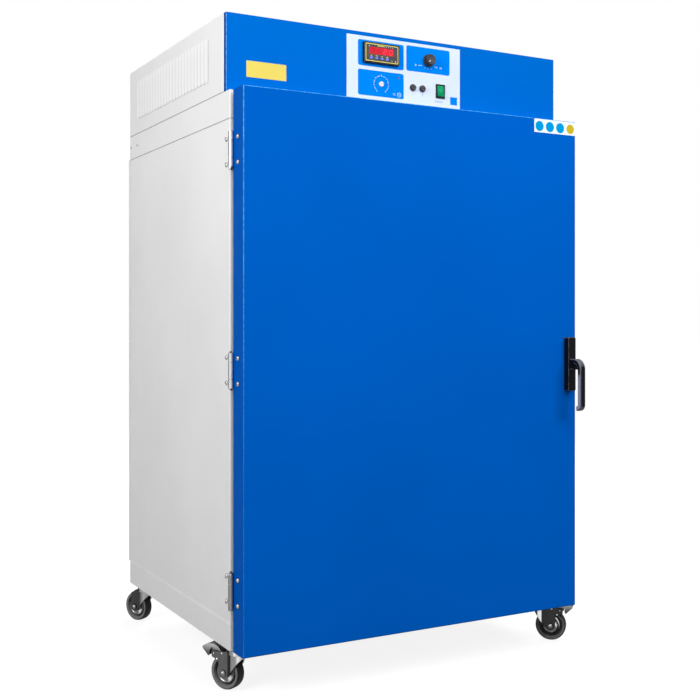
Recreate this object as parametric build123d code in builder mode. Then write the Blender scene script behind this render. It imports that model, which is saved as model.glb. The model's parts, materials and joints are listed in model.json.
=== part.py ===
from build123d import *

import os
from math import cos, radians, sin, tan

# A tall forced-air laboratory oven on four swivel casters. Millimetres, +X to the right,
# +Y to the back, +Z up. The origin is on the floor, under the middle of the overall depth and width.

# Chamber, and the insulated walls that the cabinet adds round it
chamber_width = 800.0
chamber_height = 1040.0
chamber_depth = 560.0
liner_sheet = 1.2
side_wall = 74.0
floor_insulation = 70.0
head_space = 91.8
back_insulation = 70.0
motor_space = 103.8
insulation_clearance = 3.0

# Cabinet and door
ground_clearance = 108.0
plinth_height = 61.0
band_height = 65.0
control_box_height = 181.0
rear_cover_depth = 8.0
door_front_y = -392.0
door_depth = 57.0
door_edge_radius = 3.0
side_step = 4.0
door_top_step = 2.0
gasket_gap = 11.0
sheet = 1.5
base_sheet = 2.0
seam_gap = 0.6
corner_radius = 4.0
return_width = 20.0
frame_side_clearance = 0.5

cabinet_width = chamber_width + 2 * side_wall
side_x = cabinet_width / 2
door_width = cabinet_width - 2 * side_step
door_side_x = door_width / 2

door_back_y = door_front_y + door_depth
carcass_front_y = door_back_y + gasket_gap
frame_front_y = carcass_front_y + sheet
frame_back_y = frame_front_y + sheet
chamber_back_y = frame_back_y + chamber_depth
liner_back_y = chamber_back_y + liner_sheet
insulation_back_y = liner_back_y + back_insulation
carcass_back_y = insulation_back_y + motor_space
carcass_depth = carcass_back_y - carcass_front_y
carcass_mid_y = (carcass_front_y + carcass_back_y) / 2

plinth_top_z = ground_clearance + plinth_height
chamber_bottom_z = plinth_top_z + floor_insulation + liner_sheet
chamber_top_z = chamber_bottom_z + chamber_height
chamber_mid_z = (chamber_bottom_z + chamber_top_z) / 2
band_top_z = chamber_top_z + head_space
band_bottom_z = band_top_z - band_height
deck_under_z = band_top_z - sheet
door_top_z = band_top_z - door_top_step
door_height = door_top_z - ground_clearance
door_mid_z = ground_clearance + door_height / 2
panel_bottom_z = plinth_top_z + seam_gap
panel_height = band_bottom_z - seam_gap - panel_bottom_z
panel_mid_z = panel_bottom_z + panel_height / 2
box_bottom_z = band_top_z + seam_gap
box_top_z = box_bottom_z + control_box_height

# Door seal
gasket_inset = 6.0
gasket_width = 14.0
gasket_corner = 20.0
seal_clearance = 0.3
pan_rise = 8.0
pan_margin = 4.0

# Hinges
hinge_length = 80.0
hinge_end_inset = 138.0
hinge_axis_outset = 6.0
barrel_radius = 5.7
pin_radius = 3.0
pin_clearance = 0.05
pin_overhang = 4.0
leaf_thickness = 2.5
leaf_reach = 37.0
leaf_slot_clearance = 0.2
door_knuckle_length = 38.8
knuckle_gap = 0.3
screw_offset_z = 28.5
screw_reach = 28.0

hinge_x = -door_side_x - hinge_axis_outset
hinge_y = door_back_y
hinge_heights = (ground_clearance + hinge_end_inset, door_mid_z, door_top_z - hinge_end_inset)

# Screws
hinge_screw_head = (5.5, 3.6)
band_screw_head = (4.0, 1.8)
screw_radius = 2.0
screw_clearance = 0.1
band_screw_back_insets = (12.0, 68.0)
band_screw_drop = 31.0

# Handle and latch
handle_edge_inset = 14.0
escutcheon_width = 24.0
escutcheon_height = 139.0
escutcheon_depth = 18.0
lever_width = 18.0
lever_arm_height = 28.0
lever_arm_length = 14.0
lever_thickness = 13.0
lever_reach = 42.0
lever_drop = 119.5
lever_hook = 2.0
lever_bend_radius = 20.0
lever_foot_radius = 10.0
lever_end_rounding = 2.5
lever_gap = 0.3
spindle_radius = 4.0
spindle_clearance = 0.1
spindle_hole_radius = 6.0
cam_length = 36.0
cam_width = 10.0
cam_thickness = 3.0
slot_clearance = 2.0
latch_pocket_depth = 12.0

handle_x = door_side_x - handle_edge_inset - escutcheon_width / 2
handle_front_y = door_front_y - escutcheon_depth

# Casters
wheel_radius = 40.0
tyre_width = 26.0
rim_radius = 30.0
rim_width = 22.0
hub_radius = 10.0
web_width = 16.0
axle_radius = 5.0
axle_clearance = 0.05
axle_head_radius = 8.0
axle_head_height = 2.0
caster_trail = 34.0
fork_inner_width = 30.0
fork_sheet = 3.0
fork_nose_reach = 12.0
fork_nose_length = 22.0
crown_z = 90.0
race_radius = 27.0
plate_thickness = 3.0
plate_length = 80.0
plate_width = 68.0
kingpin_radius = 6.0
kingpin_head_radius = 8.0
kingpin_head_height = 4.0
turn_clearance = 0.3
leg_foot_radius = 13.0
leg_shoulder_drop = 12.0
lug_back_margin = 7.0
lug_top_margin = 5.0
lug_bottom_margin = 8.0
pedal_pivot = (60.0, 82.0)
pedal_pin_radius = 2.5
pedal_pin_overhang = 1.0
pedal_hub_radius = 6.0
pedal_lug_width = 28.0
pedal_width = 40.0
caster_side_inset = 41.0
caster_front_inset = 40.0
caster_back_inset = 34.0

# The pedal's side view, as offsets to the back and up from its pivot
pedal_top_line = ((-22.0, 8.0), (-14.0, 17.0))
pedal_crest = (10.0, 22.0)
pedal_tip = (33.0, 12.0)
pedal_under_line = ((32.0, 8.0), (24.0, 1.0), (16.0, -7.0), (12.0, -4.0), (12.0, 6.0), (6.0, 14.0))
pedal_hollow_line = ((14.0, -10.0), (14.0, 14.0), (22.0, 14.0), (28.0, 9.0), (28.0, -10.0))
pedal_lug_line = ((-8.0, 13.0), (-6.0, 0.0), (6.0, 0.0), (12.0, 14.0))
pedal_sheet = 2.5

caster_x = side_x - caster_side_inset
caster_front_y = carcass_front_y + caster_front_inset
caster_back_y = carcass_back_y - caster_back_inset
casters = {
    "front_left": (-caster_x, caster_front_y, 120.0, True),
    "front_right": (caster_x, caster_front_y, -46.0, True),
    "rear_left": (-caster_x, caster_back_y, 118.0, False),
    "rear_right": (caster_x, caster_back_y, 75.0, False),
}

# Control box and fascia
box_return_width = 12.0
fascia_setback = 24.0
fascia_side_step = 1.0
fascia_return = 13.0
fascia_foot_gap = 1.5
louvre_count = 24
louvre_pitch = 22.3
louvre_width = 16.0
louvre_height = 104.0
louvre_rise = 5.0
louvre_center_y = 67.0
louvre_top_margin = 38.0

fascia_front_y = carcass_front_y + fascia_setback
box_front_y = fascia_front_y + fascia_return
fascia_width = cabinet_width - 2 * fascia_side_step
fascia_bottom_z = band_top_z + fascia_foot_gap
fascia_top_z = box_top_z - fascia_side_step
louvre_center_z = box_top_z - louvre_top_margin - louvre_height / 2

# Fascia fittings; each offset is to the right of the fascia's middle and up from the deck
overlay_thickness = 0.5
overlay_size = (329.0, 156.0)
overlay_offset = (3.0, 93.0)
controller_size = (100.0, 50.0)
controller_offset = (-67.5, 131.5)
controller_bezel = 8.0
controller_body_margin = 3.7
controller_body_depth = 80.0
window_size = (69.5, 17.5)
window_offset = (-1.0, 5.0)
window_thickness = 1.5
window_recess = 2.0
key_count = 4
key_pitch = 15.0
key_size = (8.0, 5.4)
key_offset = (-7.6, -13.0)
key_depth = 4.0
key_stand = 1.0
key_travel = 0.8
key_clearance = 0.15
alarm_offset = (-65.0, 58.5)
alarm_spindle_radius = 6.0
alarm_spindle_stand = 3.5
alarm_spindle_length = 24.0
knob_offset = (72.0, 132.0)
knob_radius = 14.5
knob_skirt_radius = 16.0
knob_skirt_height = 2.5
knob_height = 15.0
knob_stand = 0.3
knob_taper = 3.0
knob_edge_radius = 1.2
knob_shaft_radius = 3.0
knob_shaft_length = 22.0
bushing_radius = 4.5
potentiometer_radius = 12.0
potentiometer_depth = 18.0
fuse_offsets = ((26.0, 59.5), (54.0, 59.5))
fuse_flange_radius = 8.6
fuse_flange_height = 2.0
fuse_cap_radius = 7.0
fuse_cap_height = 4.5
fuse_slot_size = (9.0, 1.6, 1.2)
fuse_body_radius = 6.0
fuse_body_depth = 32.0
rocker_offset = (107.5, 58.2)
rocker_bezel_size = (26.6, 35.3)
rocker_bezel_height = 2.5
rocker_body_margin = 1.5
rocker_body_depth = 28.0
rocker_width = 19.0
rocker_radius = 14.2
rocker_clearance = 0.3
rocker_pivot_depth = 3.0
rocker_pin_radius = 1.5
rocker_pin_reach = 1.4
rocker_tilt = 11.0
rocker_floor_depth = 20.0
rocker_face_recess = 0.4
cutout_clearance = 0.3


def on_fascia(offset):
    """Point (x, z) at an offset from the middle of the fascia's width and from the deck."""
    return (offset[0], band_top_z + offset[1])


overlay_center = on_fascia(overlay_offset)
controller_center = on_fascia(controller_offset)
alarm_center = on_fascia(alarm_offset)
knob_center = on_fascia(knob_offset)
fuse_centers = [on_fascia(offset) for offset in fuse_offsets]
rocker_center = on_fascia(rocker_offset)

# Inside the chamber
rail_count = 3
first_rail_level = 170.0
rail_spacing = 300.0
rail_size = (14.0, 440.0, 3.0)
rail_post_size = (8.0, 20.0)
rail_post_height = 900.0
rail_front_inset = 30.0
shelf_rod_radius = 4.0
shelf_wire_radius = 2.0
shelf_wire_count = 15
shelf_depth = 430.0
shelf_side_clearance = 2.0
shelf_front_inset = 32.0
baffle_size = (700.0, 940.0)
plenum_depth = 63.0
intake_hole_radius = 9.0
intake_pitch = 30.0
intake_radius = 105.0
intake_rows = 7
side_slot_size = (12.0, 120.0)
side_slot_pitch = 160.0
side_slot_count = 5
side_slot_inset = 24.0

# Fan and heater
fan_z = chamber_mid_z
impeller_radius = 130.0
impeller_depth = 36.0
impeller_plate = 2.0
blade_count = 12
blade_size = (42.0, 1.5)
hub_size = (20.0, 30.0)
shaft_radius = 5.0
shaft_clearance = 0.05
impeller_back_gap = 8.0
motor_radius = 55.0
motor_length = 75.0
motor_flange_size = 150.0
motor_flange_thickness = 4.0
motor_boss_radius = 14.0
shaft_depth_in_motor = 20.0
heater_ring_radii = (160.0, 182.0)
heater_tube_radius = 4.25
heater_knuckle_radius = 6.0
heater_terminal_length = 15.0
heater_gap_angle = 40.0
through_clearance = 0.3

# Services
probe_radius = 3.0
probe_positions = ((-300.0, 60.0), (-270.0, 60.0))
probe_depth_in_chamber = 70.0
probe_nut_radius = 7.0
probe_nut_height = 8.0
flue_radius = 20.0
flue_wall = 1.5
flue_stub = 25.0
flue_flange_radius = 30.0
flue_flange_thickness = 2.0
flue_x = 250.0
flue_drop = 90.0
gland_side_inset = 94.0
gland_height = 48.0
gland_bore_radius = 5.0
gland_thread_radius = 10.0
gland_nut_radius = 13.5
gland_nut_height = 6.0
gland_dome_length = 18.0
relay_size = (90.0, 70.0, 8.0)
relay_center = (-250.0, -100.0)
relay_fin_count = 7
relay_fin_size = (90.0, 3.0, 40.0)
relay_fin_pitch = 10.0


def facing_front(y):
    """Upright plane at depth y whose normal points to the front; local x is X, local y is Z."""
    return Plane.XZ.offset(-y)


def screw_points(reach):
    """Height offsets and depth of the two screws of one hinge leaf, as (y, z) pairs."""
    return [(hinge_y + reach, z + dz) for z in hinge_heights for dz in (-screw_offset_z, screw_offset_z)]


def hinge_screw_side(side):
    """Depth of the leaf screws: the cabinet's are behind the axis, the door's in front of it."""
    return screw_points(screw_reach if side == "cabinet" else -screw_reach)


# Places of the hinge leaves and screws, shared by the panels, the door and the hinges
cabinet_knuckle_length = (hinge_length - door_knuckle_length) / 2 - knuckle_gap
cabinet_leaf_x = -side_x + sheet + leaf_thickness / 2
door_leaf_x = -door_side_x + sheet + leaf_thickness / 2
leaf_slot_width = leaf_thickness + 2 * leaf_slot_clearance
knuckle_slot_height = cabinet_knuckle_length + 2 * leaf_slot_clearance
knuckle_slots = [
    (cabinet_leaf_x, mid_z + end * (hinge_length - cabinet_knuckle_length) / 2)
    for mid_z in hinge_heights
    for end in (-1, 1)
]

band_screw_z = band_top_z - band_screw_drop
band_screw_points = [(carcass_back_y - inset, band_screw_z) for inset in band_screw_back_insets]
screw_hole_radius = screw_radius + screw_clearance


# Base pan: a folded tray with a top flange all round that carries the panels and the chamber
with BuildPart() as base_pan:
    with BuildSketch(Plane.XY.offset(ground_clearance)):
        with Locations((0, carcass_mid_y)):
            RectangleRounded(cabinet_width, carcass_depth, corner_radius)
    extrude(amount=plinth_height)
    with BuildSketch(Plane.XY.offset(ground_clearance + base_sheet)):
        with Locations((0, carcass_mid_y)):
            RectangleRounded(
                cabinet_width - 2 * base_sheet,
                carcass_depth - 2 * base_sheet,
                corner_radius - base_sheet,
            )
    extrude(amount=plinth_height - 2 * base_sheet, mode=Mode.SUBTRACT)
    with BuildSketch(Plane.XY.offset(plinth_top_z - base_sheet)):
        with Locations((0, carcass_mid_y)):
            Rectangle(cabinet_width - 4 * return_width, carcass_depth - 4 * return_width)
    extrude(amount=base_sheet, mode=Mode.SUBTRACT)
base_pan.part.label = "base_pan"


# Side panels: sheet wrapped round the front and back corners of the carcass
def carcass_ring(height_z):
    """Section of the wrapped sheet round the whole carcass, as a sketch at one height."""
    with BuildSketch(Plane.XY.offset(height_z)) as ring:
        with Locations((0, carcass_mid_y)):
            RectangleRounded(cabinet_width, carcass_depth, corner_radius)
            RectangleRounded(
                cabinet_width - 2 * sheet,
                carcass_depth - 2 * sheet,
                corner_radius - sheet,
                mode=Mode.SUBTRACT,
            )
    return ring.sketch


def side_panel(side):
    """One side panel; side is -1 for the left panel and 1 for the right one."""
    with BuildPart() as panel:
        with BuildSketch(Plane.XY.offset(panel_bottom_z)):
            add(carcass_ring(panel_bottom_z))
            with Locations((side * (side_x - return_width / 2), carcass_mid_y)):
                Rectangle(return_width, carcass_depth, mode=Mode.INTERSECT)
        extrude(amount=panel_height)
        if side < 0:
            with BuildSketch(Plane.YZ.offset(-side_x)):
                with Locations(*hinge_screw_side("cabinet")):
                    Circle(screw_hole_radius)
            extrude(amount=sheet, mode=Mode.SUBTRACT)
            with BuildSketch(facing_front(carcass_front_y)):
                with Locations(*knuckle_slots):
                    Rectangle(leaf_slot_width, knuckle_slot_height)
            extrude(amount=-corner_radius, mode=Mode.SUBTRACT)
    return panel.part


side_panel_left = side_panel(-1)
side_panel_left.label = "side_panel_left"
side_panel_right = side_panel(1)
side_panel_right.label = "side_panel_right"


# Upper band: the same section all round, closed on top by the deck under the control box
with BuildPart() as upper_band:
    add(extrude(carcass_ring(band_bottom_z), amount=band_height, mode=Mode.PRIVATE))
    with BuildSketch(Plane.XY.offset(deck_under_z)):
        with Locations((0, carcass_mid_y)):
            RectangleRounded(cabinet_width, carcass_depth, corner_radius)
    extrude(amount=sheet)
    with BuildSketch(Plane.YZ.offset(-side_x)):
        with Locations(*band_screw_points):
            Circle(screw_hole_radius)
    extrude(amount=cabinet_width, mode=Mode.SUBTRACT)
    with BuildSketch(Plane.XY.offset(deck_under_z)):
        with Locations(*probe_positions):
            Circle(probe_radius + through_clearance)
    extrude(amount=sheet, mode=Mode.SUBTRACT)
upper_band.part.label = "upper_band"


# Rear cover: a shallow tray on the back of the two side panels, with a hole for the flue
flue_z = chamber_top_z - flue_drop
rear_outer_y = carcass_back_y + rear_cover_depth
with BuildPart() as rear_cover:
    with BuildSketch(facing_front(carcass_back_y)):
        with Locations((0, panel_mid_z)):
            Rectangle(cabinet_width, panel_height)
    extrude(amount=-rear_cover_depth)
    with BuildSketch(facing_front(carcass_back_y)):
        with Locations((0, panel_mid_z)):
            Rectangle(cabinet_width - 2 * sheet, panel_height - 2 * sheet)
    extrude(amount=sheet - rear_cover_depth, mode=Mode.SUBTRACT)
    with BuildSketch(facing_front(carcass_back_y)):
        with Locations((flue_x, flue_z)):
            Circle(flue_radius + through_clearance)
    extrude(amount=-rear_cover_depth, mode=Mode.SUBTRACT)
rear_cover.part.label = "rear_cover"


# Louvres: pressed hoods that rise from front to back, with their mouths to the back
def louvre_hoods(side):
    """The row of solid hoods on one side of the control box."""
    with BuildPart() as hoods:
        with BuildSketch(Plane.XY.offset(louvre_center_z - louvre_height / 2)):
            with Locations((side * side_x, louvre_center_y)):
                with GridLocations(0, louvre_pitch, 1, louvre_count):
                    Polygon(
                        (-side * sheet, -louvre_width / 2),
                        (0, -louvre_width / 2),
                        (side * louvre_rise, louvre_width / 2),
                        (-side * sheet, louvre_width / 2),
                        align=None,
                    )
        extrude(amount=louvre_height)
        with BuildSketch(Plane.YZ.offset(side * (side_x + louvre_rise))):
            with Locations((louvre_center_y, louvre_center_z)):
                with GridLocations(louvre_pitch, 0, louvre_count, 1):
                    SlotOverall(louvre_height, louvre_width, rotation=90)
        extrude(amount=-side * (louvre_rise + sheet), mode=Mode.INTERSECT)
    return hoods.part


def louvre_hollows(side):
    """The passages through the hoods, from inside the box to the mouths."""
    straight_height = louvre_height - louvre_width
    with BuildPart() as hollows:
        with BuildSketch(Plane.XY.offset(louvre_center_z - straight_height / 2)):
            with Locations((side * side_x, louvre_center_y)):
                with GridLocations(0, louvre_pitch, 1, louvre_count):
                    Polygon(
                        (-side * sheet, -louvre_width / 2 + sheet),
                        (side * (louvre_rise - sheet), louvre_width / 2),
                        (side * (louvre_rise - sheet), louvre_width / 2 + sheet),
                        (0, louvre_width / 2 + sheet),
                        (0, louvre_width / 2),
                        (-side * sheet, louvre_width / 2),
                        align=None,
                    )
        extrude(amount=straight_height)
    return hollows.part


# Control box: hood open to the bottom, with narrow returns round its open front
box_length = carcass_back_y - box_front_y
box_mid_y = (carcass_back_y + box_front_y) / 2
gland_x = side_x - gland_side_inset
gland_z = box_bottom_z + gland_height
with BuildPart() as control_box:
    with BuildSketch(Plane.XY.offset(box_bottom_z)):
        with Locations((0, box_mid_y)):
            RectangleRounded(cabinet_width, box_length, corner_radius)
    extrude(amount=control_box_height)
    fillet(control_box.faces().sort_by(Axis.Z)[-1].edges(), radius=sheet)
    with BuildSketch(Plane.XY.offset(box_bottom_z)):
        with Locations((0, box_mid_y)):
            RectangleRounded(
                cabinet_width - 2 * sheet,
                box_length - 2 * sheet,
                corner_radius - sheet,
            )
    extrude(amount=control_box_height - sheet, mode=Mode.SUBTRACT)
    with BuildSketch(facing_front(box_front_y)):
        with Locations((0, box_bottom_z + (control_box_height - box_return_width) / 2)):
            Rectangle(
                cabinet_width - 2 * box_return_width,
                control_box_height - box_return_width,
            )
    extrude(amount=-sheet, mode=Mode.SUBTRACT)
    for side in (-1, 1):
        add(louvre_hoods(side))
        add(louvre_hollows(side), mode=Mode.SUBTRACT)
    with BuildSketch(facing_front(carcass_back_y)):
        with Locations((gland_x, gland_z)):
            Circle(gland_thread_radius + through_clearance)
    extrude(amount=sheet, mode=Mode.SUBTRACT)
control_box.part.label = "control_box"


# Control fascia: folded tray in front of the control box, with the cut-outs for the fittings
rocker_body_size = (
    rocker_bezel_size[0] - 2 * rocker_body_margin,
    rocker_bezel_size[1] - 2 * rocker_body_margin,
)
controller_body_size = (
    controller_size[0] - 2 * controller_body_margin,
    controller_size[1] - 2 * controller_body_margin,
)


def panel_cutouts():
    """The openings for the fittings, the same in the fascia and in the overlay on it."""
    with BuildSketch(facing_front(fascia_front_y)) as cutouts:
        with Locations(controller_center):
            Rectangle(
                controller_body_size[0] + 2 * cutout_clearance,
                controller_body_size[1] + 2 * cutout_clearance,
            )
        with Locations(rocker_center):
            Rectangle(
                rocker_body_size[0] + 2 * cutout_clearance,
                rocker_body_size[1] + 2 * cutout_clearance,
            )
        with Locations(alarm_center):
            Circle(alarm_spindle_radius + cutout_clearance)
        with Locations(knob_center):
            Circle(bushing_radius + cutout_clearance)
        with Locations(*fuse_centers):
            Circle(fuse_body_radius + cutout_clearance)
    return cutouts.sketch


fascia_height = fascia_top_z - fascia_bottom_z
fascia_mid_z = (fascia_top_z + fascia_bottom_z) / 2
with BuildPart() as control_fascia:
    with BuildSketch(facing_front(fascia_front_y)):
        with Locations((0, fascia_mid_z)):
            Rectangle(fascia_width, fascia_height)
    extrude(amount=-fascia_return)
    fillet(control_fascia.edges().filter_by(Axis.Z).group_by(Axis.Y)[0], radius=sheet)
    with BuildSketch(facing_front(fascia_front_y + sheet)):
        with Locations((0, fascia_mid_z)):
            Rectangle(fascia_width - 2 * sheet, fascia_height - 2 * sheet)
    extrude(amount=sheet - fascia_return, mode=Mode.SUBTRACT)
    extrude(panel_cutouts(), amount=-sheet, mode=Mode.SUBTRACT)
control_fascia.part.label = "control_fascia"


# Panel overlay: printed film on the fascia
overlay_front_y = fascia_front_y - overlay_thickness
with BuildPart() as panel_overlay:
    with BuildSketch(facing_front(fascia_front_y)):
        with Locations(overlay_center):
            Rectangle(*overlay_size)
    extrude(amount=overlay_thickness)
    extrude(panel_cutouts(), amount=overlay_thickness, mode=Mode.SUBTRACT)
panel_overlay.part.label = "panel_overlay"


# Controller case: bezel in front of the overlay, body behind the fascia, pockets for window and keys
bezel_front_y = overlay_front_y - controller_bezel
window_center = (controller_center[0] + window_offset[0], controller_center[1] + window_offset[1])
key_row_center = (controller_center[0] + key_offset[0], controller_center[1] + key_offset[1])
key_centers = [
    (key_row_center[0] + (i - (key_count - 1) / 2) * key_pitch, key_row_center[1])
    for i in range(key_count)
]
with BuildPart() as controller_case:
    with BuildSketch(facing_front(overlay_front_y)):
        with Locations(controller_center):
            Rectangle(*controller_size)
    extrude(amount=controller_bezel)
    fillet(controller_case.faces().sort_by(Axis.Y)[0].edges(), radius=sheet)
    with BuildSketch(facing_front(overlay_front_y)):
        with Locations(controller_center):
            Rectangle(*controller_body_size)
    extrude(amount=-controller_body_depth)
    with BuildSketch(facing_front(bezel_front_y)):
        with Locations(window_center):
            Rectangle(*window_size)
    extrude(amount=-window_recess, mode=Mode.SUBTRACT)
    with BuildSketch(facing_front(bezel_front_y)):
        with Locations(*key_centers):
            Rectangle(key_size[0] + 2 * key_clearance, key_size[1] + 2 * key_clearance)
    extrude(amount=-(key_depth - key_stand + key_travel + key_clearance), mode=Mode.SUBTRACT)
controller_case.part.label = "controller_case"


# Controller window: tinted plate at the bottom of its recess
with BuildPart() as controller_window:
    with BuildSketch(facing_front(bezel_front_y + window_recess)):
        with Locations(window_center):
            Rectangle(*window_size)
    extrude(amount=window_thickness)
controller_window.part.label = "controller_window"


# Controller keys: four small blocks that sink into their pockets
def controller_key(center):
    """One key, standing proud of the bezel at rest."""
    with BuildPart() as key:
        with BuildSketch(facing_front(bezel_front_y - key_stand)):
            with Locations(center):
                Rectangle(*key_size)
        extrude(amount=-key_depth)
        fillet(key.faces().sort_by(Axis.Y)[0].edges(), radius=key_stand / 2)
    return key.part


controller_keys = [controller_key(center) for center in key_centers]
for number, key in enumerate(controller_keys, start=1):
    key.label = f"controller_key_{number}"


# Alarm set-point spindle: slotted head in the fascia, turned with a screwdriver
with BuildPart() as alarm_spindle:
    with BuildSketch(facing_front(overlay_front_y - alarm_spindle_stand)):
        with Locations(alarm_center):
            Circle(alarm_spindle_radius)
    extrude(amount=-alarm_spindle_length)
    fillet(alarm_spindle.faces().sort_by(Axis.Y)[0].edges(), radius=sheet / 2)
    with BuildSketch(facing_front(overlay_front_y - alarm_spindle_stand)):
        with Locations(alarm_center):
            Rectangle(2 * alarm_spindle_radius, alarm_spindle_radius / 3)
    extrude(amount=-alarm_spindle_stand / 2, mode=Mode.SUBTRACT)
alarm_spindle.part.label = "alarm_spindle"


# Speed potentiometer: can behind the fascia, threaded bushing through it
with BuildPart() as speed_potentiometer:
    with BuildSketch(facing_front(fascia_front_y + sheet)):
        with Locations(knob_center):
            Circle(potentiometer_radius)
    extrude(amount=-potentiometer_depth)
    with BuildSketch(facing_front(fascia_front_y + sheet)):
        with Locations(knob_center):
            Circle(bushing_radius)
    extrude(amount=sheet + overlay_thickness)
    with BuildSketch(facing_front(overlay_front_y)):
        with Locations(knob_center):
            Circle(knob_shaft_radius + shaft_clearance)
    extrude(amount=-(knob_shaft_length - knob_stand + through_clearance), mode=Mode.SUBTRACT)
speed_potentiometer.part.label = "speed_potentiometer"


# Speed knob: skirt, tapered body and the shaft that runs in the bushing
knob_back_y = overlay_front_y - knob_stand
with BuildPart() as speed_knob:
    with BuildSketch(facing_front(knob_back_y)):
        with Locations(knob_center):
            Circle(knob_skirt_radius)
    extrude(amount=knob_skirt_height)
    with BuildSketch(facing_front(knob_back_y - knob_skirt_height)):
        with Locations(knob_center):
            Circle(knob_radius)
    extrude(amount=knob_height - knob_skirt_height, taper=knob_taper)
    fillet(speed_knob.faces().sort_by(Axis.Y)[0].edges(), radius=knob_edge_radius)
    with BuildSketch(facing_front(knob_back_y)):
        with Locations(knob_center):
            Circle(knob_shaft_radius)
    extrude(amount=-knob_shaft_length)
speed_knob.part.label = "speed_knob"


# Fuse holders: flange and bayonet cap in front, round body through the fascia
with BuildPart() as fuse_holders:
    for center in fuse_centers:
        with BuildSketch(facing_front(overlay_front_y)):
            with Locations(center):
                Circle(fuse_flange_radius)
        extrude(amount=fuse_flange_height)
        with BuildSketch(facing_front(overlay_front_y - fuse_flange_height)):
            with Locations(center):
                Circle(fuse_cap_radius)
        extrude(amount=fuse_cap_height)
        with BuildSketch(facing_front(overlay_front_y)):
            with Locations(center):
                Circle(fuse_body_radius)
        extrude(amount=-fuse_body_depth)
    cap_faces = fuse_holders.faces().filter_by(Axis.Y).group_by(Axis.Y)[0]
    fillet(cap_faces.edges(), radius=sheet)
    with BuildSketch(facing_front(overlay_front_y - fuse_flange_height - fuse_cap_height)):
        with Locations(*fuse_centers):
            Rectangle(fuse_slot_size[0], fuse_slot_size[1])
    extrude(amount=-fuse_slot_size[2], mode=Mode.SUBTRACT)
fuse_holders.part.label = "fuse_holders"


# Rocker switch: a bezel with a box behind it, and the button on two trunnions
rocker_front_y = overlay_front_y - rocker_bezel_height
rocker_pivot_y = rocker_front_y + rocker_pivot_depth
pocket_width = rocker_width + 2 * rocker_clearance
pocket_height = 2 * (rocker_radius + rocker_clearance)
with BuildPart() as rocker_bezel:
    with BuildSketch(facing_front(overlay_front_y)):
        with Locations(rocker_center):
            Rectangle(*rocker_bezel_size)
    extrude(amount=rocker_bezel_height)
    fillet(rocker_bezel.faces().sort_by(Axis.Y)[0].edges(), radius=sheet / 2)
    with BuildSketch(facing_front(overlay_front_y)):
        with Locations(rocker_center):
            Rectangle(*rocker_body_size)
    extrude(amount=-rocker_body_depth)
    with BuildSketch(facing_front(rocker_front_y)):
        with Locations(rocker_center):
            Rectangle(pocket_width, pocket_height)
    extrude(amount=-rocker_floor_depth, mode=Mode.SUBTRACT)
    with BuildSketch(Plane.YZ.offset(rocker_center[0])):
        with Locations((rocker_pivot_y, rocker_center[1])):
            Circle(rocker_pin_radius + shaft_clearance)
    extrude(
        amount=rocker_width / 2 + rocker_pin_reach + rocker_clearance,
        both=True,
        mode=Mode.SUBTRACT,
    )
rocker_bezel.part.label = "rocker_bezel"

# The button's face has two flats that meet over the pivot, each tilted by the switch's throw
flat_rise = rocker_radius * tan(radians(rocker_tilt))
face_center_y = rocker_front_y + rocker_face_recess
with BuildPart() as rocker_button:
    with BuildSketch(Plane.YZ.offset(rocker_center[0])):
        with BuildLine():
            Polyline(
                (face_center_y, rocker_center[1]),
                (face_center_y, rocker_center[1] + rocker_radius),
                (rocker_pivot_y + rocker_radius, rocker_center[1] + rocker_radius),
                (rocker_pivot_y + rocker_radius, rocker_center[1] - rocker_radius),
                (face_center_y - 2 * flat_rise, rocker_center[1] - rocker_radius),
                close=True,
            )
        make_face()
        with Locations((rocker_pivot_y, rocker_center[1])):
            Circle(rocker_radius, mode=Mode.INTERSECT)
    extrude(amount=rocker_width / 2, both=True)
    with BuildSketch(Plane.YZ.offset(rocker_center[0])):
        with Locations((rocker_pivot_y, rocker_center[1])):
            Circle(rocker_pin_radius)
    extrude(amount=rocker_width / 2 + rocker_pin_reach, both=True)
rocker_button.part.label = "rocker_button"


# Power relay: flat base on the deck with cooling fins
with BuildPart() as power_relay:
    with BuildSketch(Plane.XY.offset(band_top_z)):
        with Locations(relay_center):
            Rectangle(relay_size[0], relay_size[1])
    extrude(amount=relay_size[2])
    with BuildSketch(Plane.XY.offset(band_top_z + relay_size[2])):
        with Locations(relay_center):
            with GridLocations(0, relay_fin_pitch, 1, relay_fin_count):
                Rectangle(relay_fin_size[0], relay_fin_size[1])
    extrude(amount=relay_fin_size[2])
power_relay.part.label = "power_relay"


# Front frame: plate round the chamber's mouth, with the slot that keeps the latch cam
slot_size = (cam_width + 2 * slot_clearance, cam_length + 2 * slot_clearance)
frame_bottom_z = plinth_top_z
frame_width = cabinet_width - 2 * (corner_radius + frame_side_clearance)
with BuildPart() as front_frame:
    with BuildSketch(facing_front(frame_front_y)):
        with Locations((0, (frame_bottom_z + deck_under_z) / 2)):
            Rectangle(frame_width, deck_under_z - frame_bottom_z)
        with Locations((0, chamber_mid_z)):
            Rectangle(chamber_width, chamber_height, mode=Mode.SUBTRACT)
        with Locations((handle_x, door_mid_z)):
            Rectangle(*slot_size, mode=Mode.SUBTRACT)
    extrude(amount=-sheet)
front_frame.part.label = "front_frame"


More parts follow.
